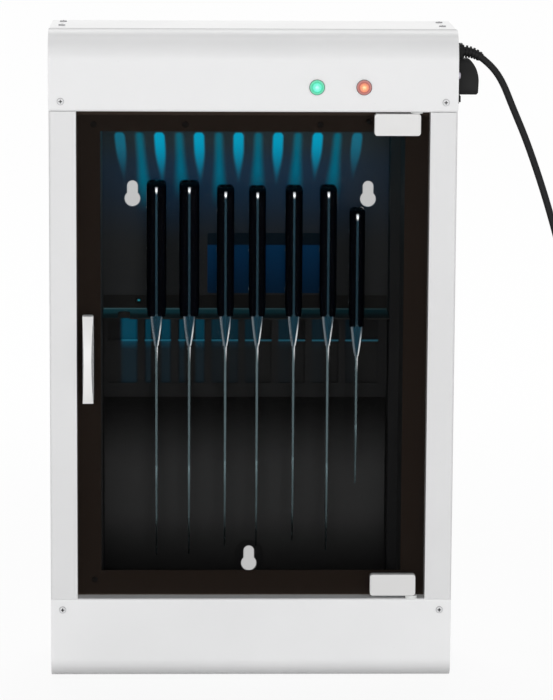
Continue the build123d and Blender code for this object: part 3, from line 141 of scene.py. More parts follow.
def blendColours(tree, factor, first, second, mode="MIX"):
    made = put(tree, "ShaderNodeMix", data_type="RGBA", blend_type=mode)
    for index, value in ((0, factor), (6, first), (7, second)):
        if isinstance(value, bpy.types.NodeSocket):
            tree.links.new(value, made.inputs[index])
        else:
            made.inputs[index].default_value = value
    return made.outputs[2]


def newGroup(name, inputs, outputs):
    group = bpy.data.node_groups.new(name, "ShaderNodeTree")
    for label, kind, value in inputs:
        socket = group.interface.new_socket(label, in_out="INPUT", socket_type="NodeSocket" + kind)
        if value is not None:
            socket.default_value = value
    for label, kind in outputs:
        group.interface.new_socket(label, in_out="OUTPUT", socket_type="NodeSocket" + kind)
    start = group.nodes.new("NodeGroupInput")
    end = group.nodes.new("NodeGroupOutput")
    return group, start.outputs, end.inputs


def useGroup(tree, group, **inputs):
    made = tree.nodes.new("ShaderNodeGroup")
    made.node_tree = group
    for label, value in inputs.items():
        if isinstance(value, bpy.types.NodeSocket):
            tree.links.new(value, made.inputs[label])
        else:
            made.inputs[label].default_value = value
    return made.outputs


def newMaterial(name, sockets):
    material = bpy.data.materials.new(name)
    material.use_nodes = True
    tree = material.node_tree
    tree.nodes.clear()
    shader = put(tree, "ShaderNodeBsdfPrincipled", sockets)
    put(tree, "ShaderNodeOutputMaterial", {"Surface": shader.outputs["BSDF"]})
    place = put(tree, "ShaderNodeTexCoord").outputs["Object"]
    return material, tree, shader, place


def feed(tree, shader, label, value):
    tree.links.new(value, shader.inputs[label])


def shadeBase(tree, shader, shade):
    # takes the base colour as it is so far and multiplies it by a mask
    before = shader.inputs["Base Color"].links[0].from_socket
    feed(tree, shader, "Base Color", scaled(tree, before, shade))


def addBump(tree, shader, height, distance, strength=1.0):
    bump = put(tree, "ShaderNodeBump", {"Height": height, "Distance": distance, "Strength": strength})
    feed(tree, shader, "Normal", bump.outputs["Normal"])


def rgba(colour):
    return (colour[0], colour[1], colour[2], 1.0)


# shared surface effects

def makePeelGroup():
    # orange peel of powder paint, slow changes of tone and a few specks
    group, start, end = newGroup(
        "powderPeel",
        [("Position", "Vector", None), ("Scale", "Float", 900.0), ("Cloud", "Float", 9.0),
         ("Specks", "Float", 0.2)],
        [("Height", "Float"), ("Tone", "Float"), ("Speck", "Float")])
    place = start["Position"]
    peel = put(group, "ShaderNodeTexNoise", {"Vector": place, "Scale": start["Scale"], "Detail": 3.0})
    cloud = put(group, "ShaderNodeTexNoise", {"Vector": place, "Scale": start["Cloud"], "Detail": 2.0})
    specks = put(group, "ShaderNodeTexVoronoi", {"Vector": place, "Scale": 160.0, "Randomness": 1.0})
    near = span(group, specks.outputs["Distance"], 0.05, 0.12, 1.0, 0.0, True)
    rare = span(group, specks.outputs["Color"], 0.90, 0.96, 0.0, 1.0)
    group.links.new(peel.outputs[0], end["Height"])
    group.links.new(cloud.outputs[0], end["Tone"])
    group.links.new(times(group, times(group, near, rare), start["Specks"]), end["Speck"])
    return group


def makeGrainGroup():
    # fine lines of brushed or ground metal, drawn out along one way
    group, start, end = newGroup(
        "brushedGrain",
        [("Position", "Vector", None), ("Stretch", "Vector", (1.0, 1.0, 1.0)), ("Scale", "Float", 900.0)],
        [("Grain", "Float"), ("Streak", "Float")])
    drawn = put(group, "ShaderNodeVectorMath", {0: start["Position"], 1: start["Stretch"]},
                operation="MULTIPLY").outputs[0]
    fine = put(group, "ShaderNodeTexNoise", {"Vector": drawn, "Scale": start["Scale"], "Detail": 4.0})
    broad = put(group, "ShaderNodeTexNoise",
                {"Vector": drawn, "Scale": times(group, start["Scale"], 0.13), "Detail": 2.0})
    group.links.new(fine.outputs[0], end["Grain"])
    group.links.new(broad.outputs[0], end["Streak"])
    return group


def makeMouldGroup():
    # sparked grain of moulded plastic with a slow change of gloss
    group, start, end = newGroup(
        "mouldGrain",
        [("Position", "Vector", None), ("Scale", "Float", 1400.0)],
        [("Height", "Float"), ("Gloss", "Float")])
    grain = put(group, "ShaderNodeTexVoronoi", {"Vector": start["Position"], "Scale": start["Scale"]})
    slow = put(group, "ShaderNodeTexNoise", {"Vector": start["Position"], "Scale": 60.0, "Detail": 3.0})
    group.links.new(grain.outputs["Distance"], end["Height"])
    group.links.new(slow.outputs[0], end["Gloss"])
    return group


def makeBeamGroup():
    # light that falls down a wall from a row of slots: bright drops and longer, dimmer streaks in turn
    group, start, end = newGroup(
        "slotBeams",
        [("Position", "Vector", None), ("Middle", "Float", 0.0), ("Pitch", "Float", 0.02),
         ("Count", "Float", 13.0), ("Top", "Float", 0.5), ("Short", "Float", 0.04), ("Long", "Float", 0.08),
         ("Half", "Float", 0.006), ("Lean", "Float", 0.018)],
        [("Bright", "Float"), ("Dim", "Float"), ("Haze", "Float")])
    axes = split(group, start["Position"])
    steps = calc(group, "DIVIDE", minus(group, axes["X"], start["Middle"]), start["Pitch"])
    depth = minus(group, start["Top"], axes["Z"])
    # the streaks lean towards the middle of the row as they fall
    drawn = calc(group, "DIVIDE", times(group, depth, start["Lean"]), start["Pitch"])
    upright = calc(group, "DIVIDE", steps, minus(group, 1.0, drawn))
    number = calc(group, "ROUND", upright)
    order = calc(group, "ABSOLUTE", number)
    last = times(group, minus(group, start["Count"], 1.0), 0.5)
    inRow = isBelow(group, order, plus(group, last, 0.5))
    atEnd = isAbove(group, order, minus(group, last, 0.5))
    odd = calc(group, "MODULO", order, 2.0)
    vary = put(group, "ShaderNodeTexNoise", {"W": times(group, number, 3.7), "Scale": 1.0},
               noise_dimensions="1D").outputs[0]
    off = calc(group, "ABSOLUTE", times(group, minus(group, upright, number), start["Pitch"]))
    rounded = span(group, depth, 0.0, 0.004, 0.62, 1.0, True)
    below = span(group, depth, -0.0005, 0.0015, 0.0, 1.0, True)
    parts = []
    # the short drops come to a point, the long streaks widen
    for length, widest, narrowest, soft, holds in (
            ("Short", 1.0, 0.15, 0.0014, 0.05), ("Long", 0.72, 1.35, 0.003, 0.5)):
        reach = times(group, start[length], plus(group, 0.72, times(group, vary, 0.55)))
        share = calc(group, "DIVIDE", depth, reach)
        width = times(group, times(group, start["Half"], rounded),
                     span(group, share, 0.3, 1.0, widest, narrowest, True))
        edge = plus(group, soft, times(group, share, soft))
        side = span(group, calc(group, "DIVIDE", minus(group, off, width), edge), -1.0, 1.0, 1.0, 0.0, True)
        fade = span(group, share, holds, 1.05, 1.0, 0.0, True)
        parts.append(times(group, times(group, side, fade), times(group, below, inRow)))
    # the drops at both ends of the row are weaker
    strength = minus(group, 1.0, times(group, atEnd, 0.62))
    bright = times(group, parts[0], minus(group, 1.0, odd))
    group.links.new(times(group, bright, strength), end["Bright"])
    group.links.new(times(group, parts[1], odd), end["Dim"])
    rise = span(group, depth, 0.002, 0.038, 0.0, 1.0, True)
    sides = span(group, calc(group, "ABSOLUTE", steps), 3.0, 7.5, 1.0, 0.35, True)
    haze = times(group, rise, span(group, depth, 0.036, 0.12, 1.0, 0.0, True))
    group.links.new(times(group, haze, sides), end["Haze"])
    return group


rackGlow = {
    # middle and half width in mm, and strength
    "patches": [(-123.3, 8.5, 1.0), (-104.0, 3.0, 0.7), (-86.0, 5.0, 0.75), (-69.5, 3.0, 0.6),
                (-51.0, 5.0, 0.7), (-34.0, 7.0, 0.3), (-16.0, 6.0, 0.3), (0.0, 10.0, 0.22),
                (34.0, 8.0, 0.2), (68.0, 8.0, 0.15), (104.0, 7.0, 0.1)],
    "low": 0.307,  # full above the second height, faint for a way below the first
    "high": 0.327,
    "tail": 0.035,
    "faint": 0.17,
    "colour": (0.002, 0.085, 0.145),
    "ledge": (0.012, 0.10, 0.145),
}


def makeGlowGroup():
    # light that passes the slots of the rack and falls on what is behind them
    group, start, end = newGroup(
        "rackGlow",
        [("Position", "Vector", None), ("Low", "Float", 0.3), ("High", "Float", 0.35)],
        [("Glow", "Float")])
    axes = split(group, start["Position"])
    total = 0.0
    for middle, half, strength in rackGlow["patches"]:
        off = calc(group, "ABSOLUTE", minus(group, axes["X"], middle * mm))
        patch = span(group, off, half * mm * 0.6, half * mm * 1.25, strength, 0.0, True)
        total = calc(group, "MAXIMUM", total, patch)
    rise = span(group, axes["Z"], start["Low"], start["High"], 0.0, 1.0, True)
    foot = minus(group, start["Low"], rackGlow["tail"])
    faint = span(group, axes["Z"], foot, plus(group, foot, 0.006), 0.0, rackGlow["faint"], True)
    rise = calc(group, "MAXIMUM", rise, faint)
    group.links.new(times(group, total, rise), end["Glow"])
    return group


peelGroup = makePeelGroup()
grainGroup = makeGrainGroup()
mouldGroup = makeMouldGroup()
beamGroup = makeBeamGroup()
glowGroup = makeGlowGroup()
print("surface effects built")


# finishes

def powderPaint(name, colour, roughness=0.38, depth=0.00003, cloudShare=0.02, specks=0.15, level=0.3):
    material, tree, shader, place = newMaterial(name, {"IOR": 1.5, "Specular IOR Level": level})
    effect = useGroup(tree, peelGroup, Position=place, Scale=900.0, Specks=specks)
    tone = span(tree, effect["Tone"], 0.3, 0.7, 1.0 - cloudShare, 1.0 + cloudShare)
    tone = minus(tree, tone, times(tree, effect["Speck"], 0.5))
    rough = span(tree, effect["Tone"], 0.3, 0.7, roughness - 0.05, roughness + 0.05)
    feed(tree, shader, "Base Color", scaled(tree, colour, tone))
    feed(tree, shader, "Roughness", rough)
    addBump(tree, shader, effect["Height"], depth)
    return material, tree, shader, place


def brushedMetal(name, colour, stretch, roughness=0.3, scale=900.0, contrast=0.12):
    material, tree, shader, place = newMaterial(name, {"Metallic": 1.0})
    effect = useGroup(tree, grainGroup, Position=place, Stretch=stretch, Scale=scale)
    tone = span(tree, effect["Grain"], 0.25, 0.75, 1.0 - contrast, 1.0 + contrast)
    tone = times(tree, tone, span(tree, effect["Streak"], 0.3, 0.7, 0.94, 1.06))
    rough = span(tree, effect["Grain"], 0.2, 0.8, roughness - 0.06, roughness + 0.1)
    feed(tree, shader, "Base Color", scaled(tree, colour, tone))
    feed(tree, shader, "Roughness", rough)
    addBump(tree, shader, effect["Grain"], 0.00001)
    return material, tree, shader, place


def fineMetal(name, colour, roughness, contrast=0.12):
    # grain that runs no special way, for small turned or stamped pieces
    return brushedMetal(name, colour, (1.0, 1.0, 1.0), roughness, 1600.0, contrast)


def mouldedPlastic(name, colour, roughness=0.5, depth=0.00002, scale=1400.0, level=0.4):
    material, tree, shader, place = newMaterial(name, {"Specular IOR Level": level})
    effect = useGroup(tree, mouldGroup, Position=place, Scale=scale)
    tone = span(tree, effect["Gloss"], 0.3, 0.7, 0.93, 1.07)
    rough = span(tree, effect["Gloss"], 0.3, 0.7, roughness - 0.07, roughness + 0.07)
    feed(tree, shader, "Base Color", scaled(tree, colour, tone))
    feed(tree, shader, "Roughness", rough)
    addBump(tree, shader, effect["Height"], depth)
    return material, tree, shader, place


def dress(material, *names):
    for name in names:
        slots = nodes[name].data.materials
        slots.clear()
        slots.append(material)


# painted cabinet

# the same white paint in lighter and darker copies, one for each panel: painted light and shade
cabinetPaint = {
    "upper_cover": (0.845, 0.845, 0.85),
    "lower_cover": (0.90, 0.90, 0.905),
    "side_panels": (0.775, 0.775, 0.78),
    "top_plate": (0.85, 0.85, 0.85),
    "back_panel": (0.80, 0.80, 0.80),
    "bottom_plate": (0.80, 0.80, 0.80),
}
for name, colour in cabinetPaint.items():
    dress(powderPaint("whitePaint_" + name, colour)[0], name)

doorMetal = {"colour": (0.77, 0.765, 0.76), "bow": (0.90, 0.89, 0.88), "roughness": 0.32}
dress(powderPaint("clampPaint", doorMetal["colour"], doorMetal["roughness"], depth=0.00002)[0],
      "upper_hinge_clamp", "lower_hinge_clamp")
dress(powderPaint("bowPaint", doorMetal["bow"], doorMetal["roughness"], depth=0.00002)[0], "bow_handle")
print("painted pieces dressed")


# chamber

chamberPaint = {
    "wall": (0.077, 0.077, 0.078),
    "frame": (0.040, 0.0262, 0.0190),
    "rack": (0.034, 0.031, 0.029),
    "guard": (0.037, 0.0375, 0.038),
    "panel": (0.116, 0.116, 0.116),
    "roughness": 0.6,
    "level": 0.08,
}
# painted light: the streaks and haze that the lamp's slots cast on the back wall, given off as emission
beams = {
    "middle": -12.2 * mm,
    "pitch": 20.2 * mm,
    "count": 13.0,
    "top": 535.0 * mm,
    "short": 0.054,
    "long": 0.072,
    "half": 0.0051,
    "lean": 0.018,
    "bright": (0.0, 0.56, 0.88),
    "dim": (0.0, 0.19, 0.28),
    "haze": (0.0, 0.021, 0.060),
    "wallY": 0.0655,
}


def chamberCoat(name, colour, roughness, cloudShare):
    # dull dark paint without specks
    return powderPaint(name, colour, roughness, 0.00002, cloudShare, 0.0, chamberPaint["level"])


def addLight(tree, shader, *lights):
    # each light is a mask and a colour
    total = None
    for mask, colour in lights:
        lit = scaled(tree, colour, mask)
        if total is not None:
            lit = put(tree, "ShaderNodeVectorMath", {0: total, 1: lit}, operation="ADD").outputs[0]
        total = lit
    feed(tree, shader, "Emission Color", total)
    shader.inputs["Emission Strength"].default_value = 1.0


wallShade = {
    # painted shade on the wall below the rack, eased where the painted glow through its slots falls
    "under": (0.349, 0.353),  # the wall is darker below the rack
    "glowTop": 0.3525,
    "dark": (0.6, 0.96),  # without and with light through the rack's slots
    "haze": 0.4,  # share of the paint that each light covers
    "dim": 0.8,
    # painted light on the left side wall and painted shade on the right one
    "sides": (1.7, 0.62),  # left and right wall
}


def makeLitWall():
    # painted light from the lamp's slots as emission over darkened paint, with painted shade below the rack
    material, tree, shader, place = chamberCoat(
        "linerPaint", chamberPaint["wall"], chamberPaint["roughness"], 0.05)
    effect = useGroup(tree, beamGroup, Position=place, Middle=beams["middle"], Pitch=beams["pitch"],
                      Count=beams["count"], Top=beams["top"], Short=beams["short"], Long=beams["long"],
                      Half=beams["half"], Lean=beams["lean"])
    glow = useGroup(tree, glowGroup, Position=place, Low=rackGlow["low"], High=rackGlow["high"])
    axes = split(tree, place)
    onWall = isAbove(tree, axes["Y"], beams["wallY"])
    # painted shade below the rack
    under = times(tree, onWall, span(tree, axes["Z"], *wallShade["under"], 1.0, 0.0))
    under = times(tree, under, span(tree, glow["Glow"], 0.0, 0.7, *wallShade["dark"]))
    streaks = calc(tree, "MAXIMUM", effect["Bright"], times(tree, effect["Dim"], wallShade["dim"]))
    lit = plus(tree, times(tree, effect["Haze"], wallShade["haze"]), streaks)
    unlit = calc(tree, "SUBTRACT", 1.0, times(tree, onWall, lit), clamp=True)
    shade = times(tree, minus(tree, 1.0, under), unlit)
    # painted light on the left side wall, painted shade on the right one
    sides = span(tree, onWall, 0.0, 1.0, span(tree, axes["X"], 0.0, 0.1, *wallShade["sides"]), 1.0)
    shadeBase(tree, shader, times(tree, shade, sides))
    underRack = times(tree, onWall, isBelow(tree, axes["Z"], wallShade["glowTop"]))
    # painted light: streaks, haze and the glow under the rack, given off as emission
    addLight(tree, shader,
             (times(tree, onWall, effect["Bright"]), beams["bright"]),
             (times(tree, onWall, effect["Dim"]), beams["dim"]),
             (times(tree, onWall, effect["Haze"]), beams["haze"]),
             (times(tree, underRack, glow["Glow"]), rackGlow["colour"]))
    return material


dress(makeLitWall(), "chamber_liner")
dress(chamberCoat("framePaint", chamberPaint["frame"], chamberPaint["roughness"], 0.05)[0],
      "door_frame", "chamber_floor", "slotted_ceiling")

rackLight = {
    # painted light on the rack: a glow over its top plate and a highlight along its fold, weaker towards
    # the right end
    "plate": (0.005, 0.040, 0.052),
    "fold": (0.045, 0.11, 0.125),
    "left": -0.150,
    "right": 0.140,
    "least": 0.3,  # share of the light that is left at the right end
    "sheet": 0.0012,
    "foldY": 0.0635,
}


def makeRackPaint():
    material, tree, shader, place = chamberCoat("rackPaint", chamberPaint["rack"], 0.5, 0.06)
    low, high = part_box("knife_rack")
    deep, height = high.y - low.y, low.z + rackLight["sheet"]
    axes = split(tree, place)
    # painted light on the top plate and a painted highlight along the fold, fading towards the right
    fades = span(tree, axes["X"], rackLight["left"], rackLight["right"], 1.0, rackLight["least"])
    onPlate = times(tree, isAbove(tree, axes["Z"], height - 0.0002),
                    isBelow(tree, axes["Y"], rackLight["foldY"]))
    onPlate = times(tree, onPlate, span(
        tree, axes["Y"], low.y + 0.3 * deep, low.y + 0.65 * deep, 0.15, 1.0, True))
    onFold = times(tree, isAbove(tree, axes["Y"], rackLight["foldY"]), span(
        tree, axes["Z"], height + 0.0004, height + 0.0014, 1.0, 0.0))
    addLight(tree, shader, (times(tree, onPlate, fades), rackLight["plate"]),
             (times(tree, onFold, fades), rackLight["fold"]))
    return material


panelShade = {
    # painted shade below the guard and towards the foot, and a painted lit line along the top edge
    "upper": (0.178, 0.264),  # darker towards the guard
    "lower": (0.098, 0.150, 0.35),  # and towards the foot
    "behind": (0.266, 0.274, 0.0, 0.32),  # behind the guard
    "ledge": (0.0013, 0.0006),  # lit line, below the top edge
    "ledgeLeft": (-0.132, -0.130),
}


def makePanelPaint():
    material, tree, shader, place = chamberCoat("panelPaint", chamberPaint["panel"], 0.45, 0.05)
    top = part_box("lower_panel")[1].z
    glow = useGroup(tree, glowGroup, Position=place, Low=rackGlow["low"], High=rackGlow["high"])
    axes = split(tree, place)
    # painted shade: darker towards the guard and the foot, with a dark band under the guard; behind the
    # guard the paint gives way to the painted glow
    upper = span(tree, axes["Z"], *panelShade["upper"], 1.0, 0.0, True)
    lower = span(tree, axes["Z"], *panelShade["lower"], 1.0, True)
    behind = times(tree, span(tree, axes["Z"], *panelShade["behind"], True),
                   span(tree, glow["Glow"], 0.0, 0.7, 1.0, 0.1))
    shade = plus(tree, times(tree, upper, lower), behind)
    feed(tree, shader, "Base Color", scaled(tree, chamberPaint["panel"], shade))
    first, last = panelShade["ledge"]
    ledge = times(tree, span(tree, axes["Z"], top - first, top - last),
                  span(tree, axes["X"], *panelShade["ledgeLeft"]))
    # painted glow through the rack's slots and a painted lit line along the top edge
    addLight(tree, shader, (glow["Glow"], rackGlow["colour"]), (ledge, rackGlow["ledge"]))
    return material


dress(makeRackPaint(), "knife_rack")
dress(chamberCoat("guardPaint", chamberPaint["guard"], 0.5, 0.06)[0], "blade_guard")
dress(makePanelPaint(), "lower_panel")

backPlate = {
    "top": (0.009, 0.028, 0.046),
    "blue": (0.002, 0.13, 0.37),
    "edge": 0.4195,
    "low": 0.372,
}


def makePlateFilm():
    material, tree, shader, place = mouldedPlastic("plateFilm", backPlate["blue"], 0.4, 0.00001, level=0.03)
    height = split(tree, place)["Z"]
    strip = span(tree, height, backPlate["edge"] - 0.0004, backPlate["edge"] + 0.0004)
    fade = span(tree, height, backPlate["low"], backPlate["edge"], 0.45, 1.0)
    colour = blendColours(tree, strip, scaled(tree, backPlate["blue"], fade), rgba(backPlate["top"]))
    feed(tree, shader, "Base Color", colour)
    return material


dress(makePlateFilm(), "blank_plate")
print("chamber dressed")


# door glass

doorGlass = {
    "tint": (0.001, 0.001, 0.001),
    "alpha": 0.27,
    "edgeTint": (0.008, 0.010, 0.010),
    "edgeAlpha": 0.36,
    "edge": (0.0009, 0.0003),  # from the rim inwards
}


def makeSmokedGlass():
    material, tree, shader, place = newMaterial(
        "smokedGlass", {"Roughness": 0.02, "IOR": 1.5, "Specular IOR Level": 0.015})
    low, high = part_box("door_glass")
    axes = split(tree, place)
    inner, outer = doorGlass["edge"]
    rim = 0.0
    for axis, index in (("X", 0), ("Z", 2)):
        middle, half = (low[index] + high[index]) / 2, (high[index] - low[index]) / 2
        off = calc(tree, "ABSOLUTE", minus(tree, axes[axis], middle))
        rim = calc(tree, "MAXIMUM", rim, span(tree, off, half - inner, half - outer))
    smear = put(tree, "ShaderNodeTexNoise", {"Vector": place, "Scale": 14.0, "Detail": 4.0}).outputs[0]
    colour = blendColours(tree, rim, rgba(doorGlass["tint"]), rgba(doorGlass["edgeTint"]))
    alpha = span(tree, rim, 0.0, 1.0, doorGlass["alpha"], doorGlass["edgeAlpha"])
    feed(tree, shader, "Base Color", colour)
    feed(tree, shader, "Alpha", alpha)
    feed(tree, shader, "Roughness", span(tree, smear, 0.4, 0.7, 0.015, 0.05))
    return material


dress(makeSmokedGlass(), "door_glass")


# knives

knifeSteel = {
    "stretch": (1.0, 1.0, 0.03),
    "roughness": 0.28,
    # the teal in the steel colours is painted lamp light; the side colours are painted shade, and left,
    # right and spark are painted highlights
    "blade": (0.167, 0.235, 0.252),
    "bladeSides": (0.010, 0.016, 0.019),
    "tang": (0.021, 0.048, 0.066),
    "tangSides": (0.0012, 0.0022, 0.0035),
    "bolster": (0.014, 0.054, 0.083),
    "left": (0.22, 0.26, 0.29),
    "right": (0.95, 0.98, 1.0),
    "spark": (0.9, 0.95, 1.0),
    "start": 1.5,  # top of the bolster, mm below the foot of the handle
    "long": 28.5,
    "shoulder": (5.75, -2.31, -1.34),  # half width of the bolster, mm, as it narrows downwards
    "least": 1.6,
    "line": (0.8, 1.35),  # half width of the bright line down the tang, mm
    "glint": (5.5, 13.5),  # mm below the butt of the handle
    # where each zone fades in or out, m below the top of the bolster
    "bolsterTop": (-0.004, -0.001),
    "bolsterFoot": (0.027, 0.033),
    "tangFoot": (-0.004, -0.002),
    "bladeTop": (0.030, 0.036),
    "brightTop": (0.001, 0.016),
    "brightFoot": (0.030, 0.048),
}
handleGloss = {"colour": (0.0001, 0.0008, 0.0042), "roughness": 0.14, "level": 0.03}


def makeKnifeSteel(number):
    settings = knifeSteel
    material, tree, shader, place = newMaterial(f"bladeSteel{number}", {"Metallic": 1.0})
    low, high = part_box(f"knife_{number}_handle")
    effect = useGroup(tree, grainGroup, Position=place, Stretch=settings["stretch"], Scale=900.0)
    axes = split(tree, place)
    side = minus(tree, axes["X"], (low.x + high.x) / 2)
    away = calc(tree, "ABSOLUTE", side)
    below = minus(tree, high.z, axes["Z"])
    down = minus(tree, low.z - settings["start"] * mm, axes["Z"])

    # outline of the bolster
    share = calc(tree, "DIVIDE", down, settings["long"] * mm)
    first, second, third = (value * mm for value in settings["shoulder"])
    taper = times(tree, share, plus(tree, second, times(tree, share, third)))
    half = calc(tree, "MAXIMUM", plus(tree, first, taper), settings["least"] * mm)
    onBolster = times(tree, span(tree, down, *settings["bolsterTop"], 0, 1, True),
                      span(tree, down, *settings["bolsterFoot"], 1, 0, True))

    # tang with its bright line and painted shade beside and above it, blade with its sides darkened as
    # painted shade, bolster
    onBlade = span(tree, down, -0.004, 0.0)
    colour = blendColours(tree, onBlade, rgba(settings["tang"]), rgba(settings["blade"]))
    inside, outside = (value * mm for value in settings["line"])
    line = times(tree, span(tree, away, inside, outside, 1, 0, True),
                 span(tree, below, 0.0055, 0.0075, 0, 1))
    besideLine = times(tree, span(tree, down, *settings["tangFoot"], 1, 0), minus(tree, 1.0, line))
    colour = blendColours(tree, besideLine, colour, rgba(settings["tangSides"]))
    onSides = times(tree, span(tree, down, *settings["bladeTop"]),
                    span(tree, away, 0.0008, 0.0013, 0, 0.9, True))
    colour = blendColours(tree, onSides, colour, rgba(settings["bladeSides"]))
    colour = blendColours(tree, onBolster, colour, rgba(settings["bolster"]))

    # painted highlights: a grey left edge and a bright right edge of the bolster
    leftEdge = times(tree, onBolster, span(tree, plus(tree, half, side), 0.0009, 0.0030, 1, 0, True))
    rightEdge = span(tree, minus(tree, half, side), 0.0010, 0.0017, 1, 0, True)
    nearBolster = times(tree, span(tree, down, *settings["brightTop"], 0.12, 1, True),
                        span(tree, down, *settings["brightFoot"], 1, 0, True))
    nearBolster = times(tree, nearBolster, isAbove(tree, down, -0.0012))
    colour = blendColours(tree, leftEdge, colour, rgba(settings["left"]))
    colour = blendColours(tree, times(tree, rightEdge, nearBolster), colour, rgba(settings["right"]))

    # painted highlight: a glint below the butt of the handle, also given off as emission
    near, far = (value * mm for value in settings["glint"])
    glint = times(tree, span(tree, below, near, near + 0.002, 0, 1, True),
                  span(tree, below, far - 0.005, far, 1, 0, True))
    narrow = span(tree, below, near, far, 0.0013, 0.0007)
    glint = times(tree, glint, span(tree, minus(tree, away, narrow), -0.0002, 0.0003, 1, 0, True))
    colour = blendColours(tree, glint, colour, (1, 1, 1, 1))

    tone = span(tree, effect["Grain"], 0.25, 0.75, 0.9, 1.1)
    roughness = settings["roughness"]
    rough = span(tree, effect["Streak"], 0.2, 0.8, roughness - 0.08, roughness + 0.08)
    feed(tree, shader, "Base Color", scaled(tree, colour, tone))
    feed(tree, shader, "Roughness", rough)
    addBump(tree, shader, effect["Grain"], 0.00001)
    addLight(tree, shader, (glint, settings["spark"]))
    return material


scaleBlack = mouldedPlastic("handleBlack", handleGloss["colour"], handleGloss["roughness"], 0.000004, 500.0,
                            handleGloss["level"])[0]
knifeNumbers = range(1, 8)
for number in knifeNumbers:
    dress(makeKnifeSteel(number), f"knife_{number}_blade")
    dress(scaleBlack, f"knife_{number}_handle")
print("knives dressed")


# small metal and plastic pieces

dress(fineMetal("zincSteel", (0.62, 0.62, 0.63), 0.3)[0],
      "cover_brackets", "hinge_pins", "clamp_screws", "handle_screws", "strike_plate")
dress(fineMetal("darkScrews", (0.016, 0.014, 0.013), 0.5)[0], "frame_screws")

rackScrews = {"head": (0.012, 0.015, 0.016), "glint": (0.02, 0.42, 0.52)}


def makeRackScrews():
    # dark heads with a small painted highlight, a glint on the left one, just above and right of its middle
    material, tree, shader, place = fineMetal("rackScrews", rackScrews["head"], 0.4)
    low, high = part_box("rack_screws")
    radius = (high.z - low.z) / 2
    axes = split(tree, place)
    across = calc(tree, "ABSOLUTE", minus(tree, axes["X"], low.x + radius * 1.15))
    height = calc(tree, "ABSOLUTE", minus(tree, axes["Z"], low.z + radius * 1.1))
    glint = times(tree, span(tree, across, 0.0, radius * 0.7, 1, 0, True),
                  span(tree, height, 0.0, radius * 0.5, 1, 0, True))
    addLight(tree, shader, (glint, rackScrews["glint"]))
    return material


dress(makeRackScrews(), "rack_screws")
dress(fineMetal("inletScrews", (0.42, 0.40, 0.46), 0.42)[0], "inlet_screws")
dress(brushedMetal("pinBrass", (0.75, 0.62, 0.36), (1.0, 0.1, 1.0), 0.25)[0], "plug_pins")
dress(brushedMetal("capMetal", (0.70, 0.70, 0.70), (0.1, 1.0, 1.0), 0.3)[0], "lamp_caps")
dress(mouldedPlastic("bushNylon", (0.78, 0.79, 0.78))[0], "pivot_bushes", "lamp_holders", "terminal_block")
dress(mouldedPlastic("inletBlack", (0.006, 0.006, 0.006), level=0.12)[0],
      "mains_inlet", "switch_body", "switch_plunger", "magnet_catch")
dress(mouldedPlastic("connectorBlack", (0.0155, 0.0155, 0.0158), 0.6, level=0.12)[0],
      "mains_connector", "strain_relief", "mains_plug")
dress(powderPaint("ballastPaint", (0.72, 0.72, 0.70))[0], "ballast")
dress(mouldedPlastic("lampGlass", (0.70, 0.82, 0.90), 0.12, 0.000004)[0], "lamp_tube")


coverScrews = {
    "head": (0.74, 0.74, 0.75),
    "recess": (0.012, 0.012, 0.014),
    "ring": (0.42, 0.42, 0.43),
    "front": [(188.3, 579.3), (188.3, 70.3)],  # from the middle and from the floor, mm
    "top": [(188.8, 0.0), (188.8, 48.4)],  # from the middle and from the middle of the depth
    "slot": 0.00042,
    "reach": 0.00185,
    "pit": 0.0011,
    "ringFrom": (0.0027, 0.0034),
    "ringTo": 0.0045,
    "topLevel": 0.640,
}


def makeScrewPaint():
    # heads with a cross recess and a soft ring, both painted dark as shade
    material, tree, shader, place = powderPaint(
        "screwHeads", coverScrews["head"], 0.3, 0.00001, 0.02, specks=0.0)
    axes = split(tree, place)
    across = calc(tree, "ABSOLUTE", axes["X"])
    onTop = isAbove(tree, axes["Z"], coverScrews["topLevel"])
    cross, ring = 0.0, 0.0
    for axis, places in (("Z", coverScrews["front"]), ("Y", coverScrews["top"])):
        here = onTop if axis == "Y" else minus(tree, 1.0, onTop)
        for x, level in places:
            one = calc(tree, "ABSOLUTE", minus(tree, across, x * mm))
            two = calc(tree, "ABSOLUTE", minus(tree, axes[axis], level * mm))
            squares = [calc(tree, "POWER", off, 2.0) for off in (one, two)]
            away = calc(tree, "SQRT", plus(tree, *squares))
            inSlot = times(tree, isBelow(tree, calc(tree, "MINIMUM", one, two), coverScrews["slot"]),
                           isBelow(tree, away, coverScrews["reach"]))
            inSlot = calc(tree, "MAXIMUM", inSlot, isBelow(tree, away, coverScrews["pit"]))
            cross = calc(tree, "MAXIMUM", cross, times(tree, inSlot, here))
            edge = times(tree, span(tree, away, *coverScrews["ringFrom"], 0, 1, True),
                         isBelow(tree, away, coverScrews["ringTo"]))
            ring = calc(tree, "MAXIMUM", ring, times(tree, edge, here))
    colour = blendColours(tree, ring, rgba(coverScrews["head"]), rgba(coverScrews["ring"]))
    colour = blendColours(tree, cross, colour, rgba(coverScrews["recess"]))
    feed(tree, shader, "Base Color", colour)
    return material


dress(makeScrewPaint(), "cover_screws")


# shading of the covers by place: the lap line at the lid and the rolled edges

seamShade = {"middle": -0.0345, "half": 0.0042, "soft": 0.0012, "depth": 0.45, "level": 0.645}
rolledEdges = {"upper_cover": (0.640, 0.6465, 1.0, 0.70), "lower_cover": (0.0, 0.022, 0.70, 1.0)}


def paintOf(name):
    tree = nodes[name].data.materials[0].node_tree
    shader = next(node for node in tree.nodes if node.type == "BSDF_PRINCIPLED")
    place = next(node for node in tree.nodes if node.type == "TEX_COORD").outputs["Object"]
    return tree, shader, split(tree, place)


